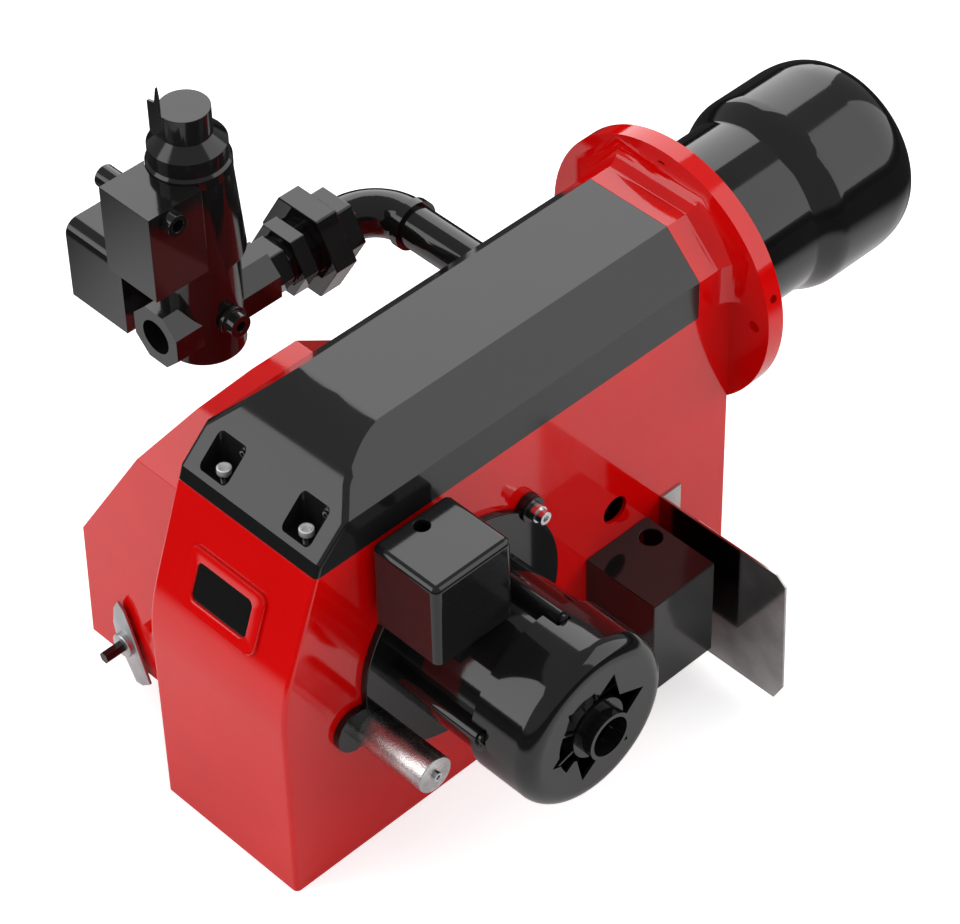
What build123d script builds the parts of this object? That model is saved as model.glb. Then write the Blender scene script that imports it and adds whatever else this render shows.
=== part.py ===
# Monobloc industrial gas burner, millimetres.
# Origin: centre of the mounting flange's boiler-side face, on the flame axis.
# +Y runs along the flame, +X points to the motor side, +Z is up.
from build123d import *
import math
import os

# Running and seating clearances
running = 0.05
seat = 0.3

# Housing
half_width = 87.5
housing_bottom = -342.6
housing_front = -565.5
seam_height = 18.4
bend_height = -142.6
lean_angle = 20.0
bend_radius = 196.0
front_edge_radius = 14.0
wall = 4.0
shelf_depth = 40.0
shelf_thickness = 8.0
rail_width = 8.0
rail_height = 4.0

# Mounting flange and neck
flange_radius = 134.4
flange_thickness = 19.0
bolt_circle = 233.0
bolt_hole_radius = 5.75
bolt_count = 4
neck_length = 41.5
neck_fillet = 20.0
neck_wall = 4.0
set_screw_angle = 15.0
set_screw_radius = 4.0
set_screw_length = 12.0

# Blast tube
tube_radius = 87.0
tube_wall = 3.0
tube_straight = 97.0
bulb_radius = 98.2
bulb_start = 132.0
bulb_end = 188.0
tube_tip = 236.0
mouth_radius = 76.0

# Top cover
band_height = 41.0
flat_half_width = 47.0
cover_thickness = 3.0
cover_setback = 3.6
cover_lip_height = 13.0
screw_face_run = 49.0
screw_face_rise = 46.0
crown_run = 59.0
pocket_spacing = 103.4
pocket_width = 35.0
pocket_length = 28.5
pocket_floor_height = 8.0
pocket_setback = 20.5
cover_screw_radius = 3.0
cover_screw_head_radius = 6.5
cover_screw_head_height = 8.0
cover_screw_stand = 6.0

# Viewing window on the leaning panel
window_center_x = -4.4
window_center_z = -51.1
window_width = 96.2
window_height = 62.8
window_frame_height = 2.6
pane_width = 69.5
pane_height = 38.3
pane_thickness = 1.4

# Drive axis, shared by fan and motor
drive_setback = 204.5
axis_z = -151.1
shaft_radius = 9.5
fan_opening_radius = 108.0
impeller_radius = 100.0
impeller_width = 84.0
impeller_plate = 2.0
impeller_hub_length = 34.0
impeller_center_x = 4.0
impeller_eye_radius = 68.0
blade_count = 24
blade_length = 27.0
blade_thickness = 1.6
blade_angle = 38.0
inlet_throat_radius = 62.0
inlet_flare_radius = 80.0
inlet_gap = 3.0
volute_start_radius = 112.0
volute_growth = 44.0
volute_thickness = 2.0

# Motor
motor_flange_radius = 117.0
motor_flange_thickness = 7.0
ear_distance = 122.5
ear_angle = 46.5
ear_radius = 13.5
lower_ear_offset_y = -128.0
lower_ear_offset_z = -31.9
lower_ear_radius = 23.0
stator_radius = 78.5
stator_wall = 4.0
stator_end = 200.0
core_start = 122.0
core_length = 62.0
core_bore_radius = 46.0
air_gap = 0.8
bearing_radius = 20.0
bearing_width = 12.0
shield_thickness = 5.0
cap_start = 190.0
cap_face = 259.0
cap_radius = 85.0
cap_edge_radius = 18.0
cap_wall = 3.0
hub_tube_end = 273.6
hub_tube_radius = 24.0
hub_bore_radius = 20.0
hub_petal_radius = 30.0
star_points = 6
star_outer_radius = 56.0
star_inner_radius = 34.0
star_angle = 10.0
scoop_radius = 47.0
scoop_start = 95.0
scoop_sweep = 120.0
rib_count = 3
rib_thickness = 2.0
cooling_fan_radius = 68.0
cooling_fan_width = 16.0
cooling_fan_blades = 8
cooling_blade_thickness = 2.0
shaft_end_gap = 22.0
tie_bolt_distance = 86.0
tie_bolt_radius = 2.5
tie_bolt_head_radius = 4.6
tie_bolt_head_height = 4.0
tie_lug_radius = 7.0
tie_lug_end = 203.0
tie_notch_gap = 1.0
tie_bolt_angles = [172.0, 262.0, 352.0, 82.0]

# Motor screw with washer and spacer
screw_washer_radius = 13.0
screw_spacer_radius = 8.5
screw_head_radius = 6.5
screw_thread_radius = 4.0
screw_head_height = 7.0
screw_hexagon_depth = 4.0
washer_thickness = 3.0
spacer_length = 8.0

# Capacitor
capacitor_radius = 18.5
capacitor_offset_y = -110.6
capacitor_offset_z = -41.3
capacitor_end = 172.5
capacitor_stud_radius = 4.5
capacitor_stud_length = 3.6

# Terminal box on the motor
box_start = 95.0
box_width = 78.5
box_overhang = 103.5
box_depth = 89.0
box_bottom = -62.6
box_height = 89.7
box_edge_radius = 7.0
box_wall = 3.0
box_hole_radius = 7.5
box_hole_x = 108.8
box_hole_inset = 46.0
seat_inset = 18.0
seat_rear_inset = 8.0
seat_width = 42.0
seat_depth = 40.0

# Side connection box and angle bracket
side_box_width = 85.8
side_box_front = -201.7
side_box_depth = 78.2
side_box_bottom = -295.6
side_box_height = 111.2
side_box_hole_radius = 11.0
side_box_hole_inset = 16.0
wall_hole_radius = 14.5
wall_hole_y = -164.5
wall_hole_z = -147.4
bracket_y = -105.9
bracket_thickness = 2.5
bracket_top = -170.5
bracket_bottom = -328.0
bracket_reach = 246.0
bracket_tab = 26.0

# Air intake box and damper
intake_front = -508.0
intake_length = 293.0
intake_top_edge_x = -157.4
intake_side_x = -252.0
intake_taper = 5.0
intake_shoulder_z = -164.0
intake_bottom = -302.0
intake_crown_z = 3.0
intake_knee = 70.0
intake_knee_drop = 5.2
intake_crown_start = 134.0
intake_crown_end = 189.5
intake_crown_fall = 6.8
intake_front_drop = 20.0
intake_rear_drop = 56.0
intake_wall = 3.0
damper_x = -196.5
damper_z = -270.5
damper_shaft_radius = 5.0
duct_margin = 21.5
duct_width = 60.0
duct_height = 60.0
blade_gap = 2.0
damper_thickness = 2.4
damper_rest_angle = 26.0
lever_gap = 4.0
lever_thickness = 3.5
lever_upper = 48.5
lever_lower = 42.0
lever_width = 20.0
lever_hub_radius = 11.0
hex_end_radius = 6.2
hex_end_length = 23.0

# Gas train, its pipe axis beside the flame axis
train_x = -258.1
train_z = -6.0
pipe_y = -130.0
pipe_radius = 21.2
pipe_bore = 17.9
elbow_radius = 45.0
elbow_tube_radius = 23.0
elbow_collar_radius = 25.5
elbow_collar_length = 9.0
elbow_collar_x = -204.0
elbow_end_y = -177.0
union_end_length = 24.0
union_end_radius = 38.0
union_nut_length = 25.0
union_nut_radius = 51.5
union_neck_length = 9.0
union_neck_radius = 30.0
tail_length = 17.0
tail_radius = 37.0
tail_neck_length = 4.0
tail_neck_radius = 25.0
adapter_length = 18.0
adapter_radius = 28.3
port_length = 30.0
port_radius = 31.5
valve_y = -343.2
valve_radius = 38.0
valve_bottom = -43.5
valve_top = 68.0
inlet_end_y = -399.0
inlet_bore = 17.5
valve_seat_radius = 14.0
valve_seat_z = 15.0
valve_chamber_radius = 28.0
transfer_radius = 6.0
transfer_offset = 24.5
outlet_bore_end = 16.5
plunger_radius = 20.0
plunger_thickness = 5.0
stem_radius = 5.0
stem_top = 130.0
plunger_travel = 8.0
coil_base_radius = 44.5
coil_top_radius = 38.0
coil_top = 159.5
lip_radius = 38.6
lip_height = 12.2
lip_chamfer = 2.5
band_ring_radius = 36.0
band_ring_height = 15.9
cone_height = 10.5
cap_knob_radius = 23.5
cap_knob_height = 26.0
knob_lug_width = 20.0
knob_lug_reach = 24.3
knob_fin_thickness = 3.0
knob_fin_height = 9.0
knob_spike_height = 29.0
connector_front = -424.0
connector_right = -217.5
connector_width = 66.0
connector_depth = 60.0
connector_bottom = 75.0
connector_height = 92.3
gland_radius = 11.0
gland_bore = 6.0
gland_length_right = 11.0
gland_length_left = 22.0
gland_setback = 23.0
gland_height = 79.5
switch_right = -307.0
switch_width = 77.5
switch_front = -394.0
switch_depth = 70.0
switch_bottom = -36.0
switch_height = 86.0
switch_edge_radius = 14.0
nipple_radius = 11.5
nipple_bore = 5.0
nipple_length = 15.0
nipple_collar_radius = 14.5
nipple_collar_length = 5.0
nipple_z = 4.0

# Combustion head
manifold_width = 60.0
manifold_depth = 60.0
manifold_height = 58.0
head_tube_radius = 20.0
head_tube_bore = 16.0
head_tube_end = 145.0
nozzle_radius = 38.0
nozzle_length = 40.0
nozzle_wall = 4.0
nozzle_hole_radius = 3.0
nozzle_holes = 8
disc_radius = 74.0
disc_thickness = 2.5
disc_slots = 8
disc_slot_length = 26.0
disc_slot_width = 5.0
support_y = 60.0
support_length = 12.0
support_hub = 26.0
clamp_y = 115.0
clamp_length = 10.0
clamp_arm_width = 12.0
clamp_eye_wall = 4.0
electrode_circle = 52.0
electrode_radius = 5.0
electrode_length = 52.0
electrode_wire_radius = 1.2
electrode_tip = 20.0
electrode_angles = [62.0, 118.0, 270.0]

# Parts under the cover
plate_thickness = 3.0
bulkhead_distance = 8.0
bulkhead_gap = 1.0
bay_gap = 10.0
control_share = 0.36
control_width = 84.0
control_height = 44.0
transformer_share = 0.3
transformer_width = 78.0
transformer_height = 54.0
air_switch_share = 0.12
air_switch_height = 46.0
air_switch_cap_ratio = 0.6

# Shared derived places
housing_rear = -flange_thickness
neck_front = housing_rear - neck_length
band_top = seam_height + band_height
flat_top = band_top + (half_width - flat_half_width)
lean_start = bend_height + bend_radius * math.sin(math.radians(lean_angle))
lean_y = housing_front + bend_radius * (1 - math.cos(math.radians(lean_angle)))
panel_slope = math.tan(math.radians(lean_angle))
panel_top_y = lean_y + panel_slope * (seam_height - lean_start)
cover_front = panel_top_y + cover_setback
inner_half = half_width - wall
bulkhead_y = pipe_y - manifold_depth / 2 - bulkhead_distance
axis_y = housing_front + drive_setback
box_front = axis_y - box_overhang
duct_length = intake_length - 2 * duct_margin
drive_plane = Plane(origin=(0, axis_y, axis_z), x_dir=(1, 0, 0), z_dir=(0, -1, 0))
drive_axis = Axis((0, axis_y, axis_z), (1, 0, 0))


def octagon_outline(inset, bottom):
    """Corner points of the shouldered cross section, in the XZ plane."""
    side = half_width - inset
    shoulder = band_top - inset * math.tan(math.radians(22.5))
    flat = flat_half_width - inset * math.tan(math.radians(22.5))
    return [
        (-side, bottom),
        (-side, shoulder),
        (-flat, flat_top - inset),
        (flat, flat_top - inset),
        (side, shoulder),
        (side, bottom),
    ]


def facing_flame(x, y, z):
    """Plane across the flame axis whose normal is +Y."""
    return Plane(origin=(x, y, z), x_dir=(1, 0, 0), z_dir=(0, 1, 0))


def facing_motor(x, y=axis_y, z=axis_z):
    """Plane across the drive axis whose normal is +X, with +Y to its right."""
    return Plane(origin=(x, y, z), x_dir=(0, 1, 0), z_dir=(1, 0, 0))


def upright_edges(part, front_limit):
    """Outer vertical edges of a housing's front corners."""
    return [
        edge
        for edge in part.edges()
        if abs(abs(edge.center().X) - half_width) < 0.5
        and edge.center().Y < front_limit
        and edge.bounding_box().size.Z > wall
    ]


# Housing: one casting, open on top, leaning front panel
with BuildPart() as housing:
    with BuildSketch(Plane.YZ):
        with BuildLine():
            Line((housing_front, housing_bottom), (housing_front, bend_height))
            Line((lean_y, lean_start), (panel_top_y, seam_height))
            Polyline(
                (panel_top_y, seam_height),
                (housing_rear, seam_height),
                (housing_rear, housing_bottom),
                (housing_front, housing_bottom),
            )
            RadiusArc((housing_front, bend_height), (lean_y, lean_start), bend_radius)
        make_face()
    extrude(amount=half_width, both=True)
    fillet(upright_edges(housing, lean_y + 60), front_edge_radius)
    offset(amount=-wall, openings=housing.faces().sort_by(Axis.Z)[-1])
    shelf_front = panel_top_y + wall / 2
    with BuildSketch(Plane.XY.offset(seam_height)):
        with Locations((0, shelf_front + shelf_depth / 2)):
            Rectangle(2 * inner_half - wall, shelf_depth)
    extrude(amount=-shelf_thickness)
    rail_length = bulkhead_y - (shelf_front + shelf_depth)
    rail_center = (bulkhead_y + shelf_front + shelf_depth) / 2
    with BuildSketch(Plane.XY.offset(seam_height - plate_thickness)):
        for side in (-1, 1):
            with Locations((side * (inner_half - rail_width / 2), rail_center)):
                Rectangle(rail_width, rail_length)
    extrude(amount=-rail_height)
    # Motor side opening, cable hole and screw holes
    with BuildSketch(facing_motor(half_width)):
        Circle(fan_opening_radius)
        with Locations((wall_hole_y - axis_y, wall_hole_z - axis_z)):
            Circle(wall_hole_radius)
    extrude(amount=-2 * wall, mode=Mode.SUBTRACT)
    with BuildSketch(facing_motor(half_width)):
        with PolarLocations(ear_distance, 1, ear_angle):
            Circle(screw_thread_radius + running)
    extrude(amount=-2 * wall, mode=Mode.SUBTRACT)
    # Suction opening and gas pipe hole
    with BuildSketch(facing_motor(-half_width)):
        Circle(inlet_flare_radius + seat)
        with Locations((pipe_y - axis_y, train_z - axis_z)):
            Circle(pipe_radius + running)
    extrude(amount=2 * wall, mode=Mode.SUBTRACT)
    # Passage into the blast tube
    with BuildSketch(facing_flame(0, housing_rear, 0)):
        Circle(tube_radius - tube_wall)
    extrude(amount=-2 * wall, mode=Mode.SUBTRACT)
    # Cover screw holes
    with BuildSketch(Plane.XY.offset(seam_height)):
        with Locations((0, cover_front + pocket_setback)):
            with GridLocations(pocket_spacing, 1, 2, 1):
                Circle(cover_screw_radius + running)
    extrude(amount=-shelf_thickness, mode=Mode.SUBTRACT)
housing.part.label = "burner_housing"

# Window frame and pane on the leaning panel
window_y = lean_y + panel_slope * (window_center_z - lean_start)
panel_normal = (0, -math.cos(math.radians(lean_angle)), math.sin(math.radians(lean_angle)))
panel_plane = Plane(
    origin=(window_center_x, window_y, window_center_z), x_dir=(1, 0, 0), z_dir=panel_normal
)
with BuildPart() as window_frame:
    with BuildSketch(panel_plane):
        RectangleRounded(window_width, window_height, 10)
    extrude(amount=window_frame_height)
    fillet(window_frame.faces().sort_by(Axis((0, 0, 0), panel_normal))[-1].edges(), 1.2)
    with BuildSketch(panel_plane):
        RectangleRounded(pane_width, pane_height, 6)
    extrude(amount=window_frame_height, mode=Mode.SUBTRACT)
window_frame.part.label = "window_frame"

with BuildPart() as window_pane:
    with BuildSketch(panel_plane):
        RectangleRounded(pane_width - 2 * running, pane_height - 2 * running, 6 - running)
    extrude(amount=pane_thickness)
window_pane.part.label = "window_pane"

# Mounting flange: disc with the shouldered neck that closes the cover's end
with BuildPart() as flange:
    with BuildSketch(facing_flame(0, housing_rear, 0)):
        Circle(flange_radius)
    extrude(amount=flange_thickness)
    with BuildSketch(Plane.XZ.offset(-neck_front)):
        Polygon(*octagon_outline(0, seam_height), align=None)
    extrude(amount=-neck_length)
    neck_roots = [
        edge
        for edge in flange.edges()
        if abs(edge.center().Y - housing_rear) < 0.1
        and edge.geom_type == GeomType.LINE
        and edge.center().Z > seam_height + 1
    ]
    fillet(neck_roots, neck_fillet)
    with BuildSketch(Plane.XZ.offset(-neck_front)):
        Polygon(*octagon_outline(neck_wall, seam_height), align=None)
    extrude(amount=-neck_length, mode=Mode.SUBTRACT)
    with BuildSketch(facing_flame(0, housing_rear, 0)):
        Circle(tube_radius + running)
        with PolarLocations(bolt_circle / 2, bolt_count):
            Circle(bolt_hole_radius)
    extrude(amount=flange_thickness, mode=Mode.SUBTRACT)
    set_screw_plane = Plane(
        origin=(0, -flange_thickness / 2, 0),
        x_dir=(0, 1, 0),
        z_dir=(math.cos(math.radians(set_screw_angle)), 0, math.sin(math.radians(set_screw_angle))),
    )
    with BuildSketch(set_screw_plane):
        Circle(set_screw_radius + running)
    extrude(amount=flange_radius + wall, mode=Mode.SUBTRACT)
flange.part.label = "mounting_flange"

with BuildPart() as set_screw:
    with BuildSketch(set_screw_plane.offset(tube_radius + running)):
        Circle(set_screw_radius)
    extrude(amount=set_screw_length)
    with BuildSketch(set_screw_plane.offset(tube_radius + running + set_screw_length)):
        RegularPolygon(set_screw_radius / 2, 6)
    extrude(amount=-set_screw_length / 3, mode=Mode.SUBTRACT)
set_screw.part.label = "flange_set_screw"

# Blast tube: straight sleeve that swells into the flame bulb
def tube_line(inset):
    """Half section of the tube's skin, radius against flame axis."""
    Line((tube_radius - inset, housing_rear), (tube_radius - inset, tube_straight))
    Spline(
        (tube_radius - inset, tube_straight),
        (bulb_radius - inset, bulb_start),
        tangents=[(0.25, 1), (0, 1)],
    )
    Line((bulb_radius - inset, bulb_start), (bulb_radius - inset, bulb_end))
    Spline(
        (bulb_radius - inset, bulb_end),
        (mouth_radius, tube_tip - inset),
        tangents=[(0, 1), (-1, 0.45)],
    )


with BuildPart() as blast_tube:
    with BuildSketch(Plane.XY):
        with BuildLine():
            tube_line(0)
            tube_line(tube_wall)
            Line((tube_radius, housing_rear), (tube_radius - tube_wall, housing_rear))
            Line((mouth_radius, tube_tip), (mouth_radius, tube_tip - tube_wall))
        make_face()
    revolve(axis=Axis.Y)
blast_tube.part.label = "blast_tube"

# Gas manifold in the air path, fed by the pipe from the left
manifold_front = pipe_y - manifold_depth / 2
manifold_rear = pipe_y + manifold_depth / 2
with BuildPart() as manifold:
    with BuildSketch(facing_flame(0, manifold_front, 0)):
        RectangleRounded(manifold_width, manifold_height, 8)
    extrude(amount=manifold_depth)
    with BuildSketch(Plane.YZ.offset(-manifold_width / 2)):
        with Locations((pipe_y, train_z)):
            Circle(pipe_bore)
    extrude(amount=manifold_width / 2 + head_tube_bore, mode=Mode.SUBTRACT)
    with BuildSketch(facing_flame(0, manifold_rear, 0)):
        Circle(head_tube_bore)
    extrude(amount=-manifold_depth / 2, mode=Mode.SUBTRACT)
    with BuildSketch(facing_flame(0, manifold_rear, 0)):
        Circle(head_tube_radius + running)
    extrude(amount=-wall, mode=Mode.SUBTRACT)
manifold.part.label = "gas_manifold"

with BuildPart() as head_tube:
    with BuildSketch(facing_flame(0, manifold_rear - wall, 0)):
        Circle(head_tube_radius)
        Circle(head_tube_bore, mode=Mode.SUBTRACT)
    extrude(amount=head_tube_end - (manifold_rear - wall))
head_tube.part.label = "gas_head_tube"

nozzle_end = head_tube_end + nozzle_length
with BuildPart() as nozzle:
    with BuildSketch(Plane.XY):
        with BuildLine():
            Polyline(
                (head_tube_bore, head_tube_end),
                (head_tube_radius, head_tube_end),
                (nozzle_radius, head_tube_end + nozzle_length / 2),
                (nozzle_radius, nozzle_end),
                (0, nozzle_end),
                (0, nozzle_end - nozzle_wall),
                (nozzle_radius - nozzle_wall, nozzle_end - nozzle_wall),
                (nozzle_radius - nozzle_wall, head_tube_end + nozzle_length / 2 + 1),
                (head_tube_bore, head_tube_end + nozzle_wall),
                close=True,
            )
        make_face()
    revolve(axis=Axis.Y)
    with BuildSketch(facing_flame(0, nozzle_end, 0)):
        with PolarLocations(nozzle_radius - 2.5 * nozzle_wall, nozzle_holes):
            Circle(nozzle_hole_radius)
    extrude(amount=-nozzle_wall, mode=Mode.SUBTRACT)
nozzle.part.label = "gas_nozzle"

# Flame disc: annular plate with swirl slots, clipped on the nozzle's rim
disc_y = nozzle_end - disc_thickness - nozzle_wall
with BuildPart() as flame_disc:
    with BuildSketch(facing_flame(0, disc_y, 0)):
        Circle(disc_radius)
        Circle(nozzle_radius + running, mode=Mode.SUBTRACT)
        with PolarLocations((disc_radius + nozzle_radius) / 2, disc_slots, 22.5):
            SlotOverall(disc_slot_length, disc_slot_width, rotation=28, mode=Mode.SUBTRACT)
    extrude(amount=disc_thickness)
flame_disc.part.label = "flame_disc"

# Three-legged support that centres the head in the tube
with BuildPart() as head_support:
    with BuildSketch(facing_flame(0, support_y, 0)):
        Circle(support_hub)
        with PolarLocations((support_hub + tube_radius - tube_wall) / 2 - 1, 3, 90):
            Rectangle(tube_radius - tube_wall - support_hub + 2 - 2 * seat, 5)
        Circle(head_tube_radius + running, mode=Mode.SUBTRACT)
    extrude(amount=support_length)
head_support.part.label = "head_support"

# Electrode clamp on the gas tube
with BuildPart() as clamp:
    with BuildSketch(facing_flame(0, clamp_y, 0)):
        Circle(support_hub)
        for angle in electrode_angles:
            with PolarLocations(electrode_circle / 2, 1, angle):
                Rectangle(electrode_circle, clamp_arm_width)
            with PolarLocations(electrode_circle, 1, angle):
                Circle(electrode_radius + clamp_eye_wall)
        Circle(head_tube_radius + running, mode=Mode.SUBTRACT)
        for angle in electrode_angles:
            with PolarLocations(electrode_circle, 1, angle):
                Circle(electrode_radius + running, mode=Mode.SUBTRACT)
    extrude(amount=clamp_length)
clamp.part.label = "electrode_clamp"

electrode_front = clamp_y - electrode_length / 2
with BuildPart() as insulators:
    with BuildSketch(facing_flame(0, electrode_front, 0)):
        for angle in electrode_angles:
            with PolarLocations(electrode_circle, 1, angle):
                Circle(electrode_radius)
    extrude(amount=electrode_length)
    with BuildSketch(facing_flame(0, electrode_front, 0)):
        for angle in electrode_angles:
            with PolarLocations(electrode_circle, 1, angle):
                Circle(electrode_wire_radius + running)
    extrude(amount=electrode_length, mode=Mode.SUBTRACT)
insulators.part.label = "electrode_insulators"

with BuildPart() as electrode_wires:
    with BuildSketch(facing_flame(0, electrode_front, 0)):
        for angle in electrode_angles:
            with PolarLocations(electrode_circle, 1, angle):
                Circle(electrode_wire_radius)
    extrude(amount=electrode_length + electrode_tip)
electrode_wires.part.label = "electrode_wires"

# Top cover: outer skin, its hollow and the two screw pockets
cover_lip_z = seam_height + cover_lip_height
face_foot_y = cover_front + 1.7
face_top_y = face_foot_y + screw_face_run
face_top_z = cover_lip_z + screw_face_rise
cover_rear = neck_front - seat


def cover_side(inset):
    """Side outline of the cover: upright lip, screw face and rising crown."""
    Polyline(
        (cover_rear + inset, seam_height),
        (cover_front + inset, seam_height),
        (face_foot_y + inset, cover_lip_z - inset),
        (face_top_y + inset / 2, face_top_z - inset),
    )
    Spline(
        (face_top_y + inset / 2, face_top_z - inset),
        (face_top_y + crown_run, flat_top - inset),
        tangents=[(1, 0.55), (1, 0.12)],
    )
    Polyline(
        (face_top_y + crown_run, flat_top - inset),
        (cover_rear + inset, flat_top - inset),
        (cover_rear + inset, seam_height),
    )


pocket_y = cover_front + pocket_setback
with BuildPart() as cover_core:
    with BuildSketch(Plane.YZ):
        with BuildLine():
            cover_side(cover_thickness)
        make_face()
    extrude(amount=half_width, both=True)
    with BuildSketch(Plane.XZ.offset(-cover_rear - cover_thickness)):
        Polygon(*octagon_outline(cover_thickness, seam_height), align=None)
    extrude(amount=cover_rear - cover_front + 2 * cover_thickness, mode=Mode.INTERSECT)
    with BuildSketch(Plane.XY.offset(seam_height)):
        with Locations((0, pocket_y)):
            with GridLocations(pocket_spacing, 1, 2, 1):
                Rectangle(pocket_width + 2 * cover_thickness, pocket_length + 2 * cover_thickness)
    extrude(amount=flat_top, mode=Mode.SUBTRACT)

with BuildPart() as cover:
    with BuildSketch(Plane.YZ):
        with BuildLine():
            cover_side(0)
        make_face()
    extrude(amount=half_width, both=True)
    with BuildSketch(Plane.XZ.offset(-cover_rear)):
        Polygon(*octagon_outline(0, seam_height), align=None)
    extrude(amount=cover_rear - cover_front, mode=Mode.INTERSECT)
    add(cover_core.part, mode=Mode.SUBTRACT)
    with BuildSketch(Plane.XY.offset(seam_height + pocket_floor_height)):
        with Locations((0, pocket_y)):
            with GridLocations(pocket_spacing, 1, 2, 1):
                RectangleRounded(pocket_width, pocket_length, 5)
    extrude(amount=flat_top, mode=Mode.SUBTRACT)
    with BuildSketch(Plane.XY.offset(seam_height)):
        with Locations((0, pocket_y)):
            with GridLocations(pocket_spacing, 1, 2, 1):
                Circle(cover_screw_radius + running)
    extrude(amount=pocket_floor_height, mode=Mode.SUBTRACT)
cover.part.label = "top_cover"

screw_head_z = seam_height + pocket_floor_height + cover_screw_stand
with BuildPart() as cover_screws:
    with BuildSketch(Plane.XY.offset(seam_height - shelf_thickness / 2)):
        with Locations((0, pocket_y)):
            with GridLocations(pocket_spacing, 1, 2, 1):
                Circle(cover_screw_radius)
    extrude(amount=screw_head_z - seam_height + shelf_thickness / 2)
    with BuildSketch(Plane.XY.offset(seam_height + pocket_floor_height)):
        with Locations((0, pocket_y)):
            with GridLocations(pocket_spacing, 1, 2, 1):
                Circle(cover_screw_radius + 1.6)
    extrude(amount=cover_screw_stand)
    with BuildSketch(Plane.XY.offset(screw_head_z)):
        with Locations((0, pocket_y)):
            with GridLocations(pocket_spacing, 1, 2, 1):
                Circle(cover_screw_head_radius)
    extrude(amount=cover_screw_head_height)
    with BuildSketch(Plane.XY.offset(screw_head_z + cover_screw_head_height)):
        with Locations((0, pocket_y)):
            with GridLocations(pocket_spacing, 1, 2, 1):
                RegularPolygon(cover_screw_head_radius / 2, 6)
    extrude(amount=-cover_screw_head_height / 2, mode=Mode.SUBTRACT)
cover_screws.part.label = "cover_screws"

# Component plate under the cover, with what it carries
plate_front = shelf_front + shelf_depth + seat
plate_center_y = (plate_front + bulkhead_y) / 2
bay_length = bulkhead_y - plate_front
control_length = control_share * bay_length
transformer_length = transformer_share * bay_length
air_switch_radius = air_switch_share * bay_length
control_y = plate_front + bay_gap + control_length / 2
transformer_y = control_y + control_length / 2 + bay_gap + transformer_length / 2
air_switch_y = transformer_y + transformer_length / 2 + bay_gap / 2 + air_switch_radius
with BuildPart() as component_plate:
    with BuildSketch(Plane.XY.offset(seam_height - plate_thickness)):
        with Locations((0, plate_center_y)):
            Rectangle(2 * (inner_half - seat), bulkhead_y - plate_front)
    extrude(amount=plate_thickness)
    with BuildSketch(Plane.XZ.offset(-bulkhead_y)):
        Polygon(*octagon_outline(cover_thickness + bulkhead_gap, seam_height), align=None)
    extrude(amount=plate_thickness)
component_plate.part.label = "component_plate"

with BuildPart() as control_unit:
    with BuildSketch(Plane.XY.offset(seam_height)):
        with Locations((0, control_y)):
            RectangleRounded(control_width, control_length, 6)
    extrude(amount=control_height)
    chamfer(control_unit.faces().sort_by(Axis.Z)[-1].edges(), 3)
control_unit.part.label = "control_unit"

with BuildPart() as transformer:
    with BuildSketch(Plane.XY.offset(seam_height)):
        with Locations((0, transformer_y)):
            RectangleRounded(transformer_width, transformer_length, 4)
    extrude(amount=transformer_height)
    chamfer(transformer.faces().sort_by(Axis.Z)[-1].edges(), 2)
transformer.part.label = "ignition_transformer"

with BuildPart() as air_switch:
    with BuildSketch(Plane.XY.offset(seam_height)):
        with Locations((0, air_switch_y)):
            Circle(air_switch_radius)
    extrude(amount=air_switch_height / 2)
    with BuildSketch(Plane.XY.offset(seam_height + air_switch_height / 2)):
        with Locations((0, air_switch_y)):
            Circle(air_switch_radius * air_switch_cap_ratio)
    extrude(amount=air_switch_height / 2)
air_switch.part.label = "air_pressure_switch"

# Volute sheet round the impeller, open towards the blast tube
volute_reach = inner_half - seat


def volute_points(offset_radius):
    """Spiral from the tongue below the outlet round to the top."""
    points = []
    for step in range(9):
        turn = step / 8
        angle = math.radians(-20 - 250 * turn)
        radius = volute_start_radius + volute_growth * turn + offset_radius
        points.append((radius * math.cos(angle), radius * math.sin(angle)))
    return points


with BuildPart() as volute:
    with BuildSketch(facing_motor(-volute_reach)):
        with BuildLine():
            inner = Spline(*volute_points(0))
            outer = Spline(*volute_points(volute_thickness))
            Line(inner @ 0, outer @ 0)
            Line(inner @ 1, outer @ 1)
        make_face()
    extrude(amount=2 * volute_reach)
volute.part.label = "fan_volute"

# Inlet ring in the left wall, a bell mouth towards the impeller's eye
inlet_depth = half_width - impeller_width / 2 + impeller_center_x - inlet_gap
with BuildPart() as inlet_ring:
    with BuildSketch(drive_plane):
        with BuildLine():
            Polyline(
                (-half_width, inlet_flare_radius),
                (-half_width, inlet_flare_radius - wall),
                (-half_width + inlet_depth, inlet_throat_radius - volute_thickness),
                (-half_width + inlet_depth, inlet_throat_radius),
                (-inner_half, inlet_flare_radius),
                close=True,
            )
        make_face()
    revolve(axis=drive_axis)
inlet_ring.part.label = "fan_inlet_ring"

# Impeller: back plate, shroud and curved blades on a hub
impeller_left = impeller_center_x - impeller_width / 2
impeller_right = impeller_center_x + impeller_width / 2
with BuildPart() as impeller:
    with BuildSketch(facing_motor(impeller_right - impeller_plate)):
        Circle(impeller_radius)
    extrude(amount=impeller_plate)
    with BuildSketch(facing_motor(impeller_left)):
        Circle(impeller_radius)
        Circle(impeller_eye_radius, mode=Mode.SUBTRACT)
    extrude(amount=impeller_plate)
    with BuildSketch(facing_motor(impeller_left)):
        with PolarLocations(impeller_radius - blade_length * 0.45, blade_count):
            Rectangle(blade_length, blade_thickness, rotation=blade_angle)
    extrude(amount=impeller_width)
    with BuildSketch(facing_motor(impeller_right - impeller_hub_length)):
        Circle(2 * shaft_radius)
    extrude(amount=impeller_hub_length)
    with BuildSketch(facing_motor(impeller_left)):
        Circle(shaft_radius)
    extrude(amount=impeller_width, mode=Mode.SUBTRACT)
impeller.part.label = "fan_impeller"

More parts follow.
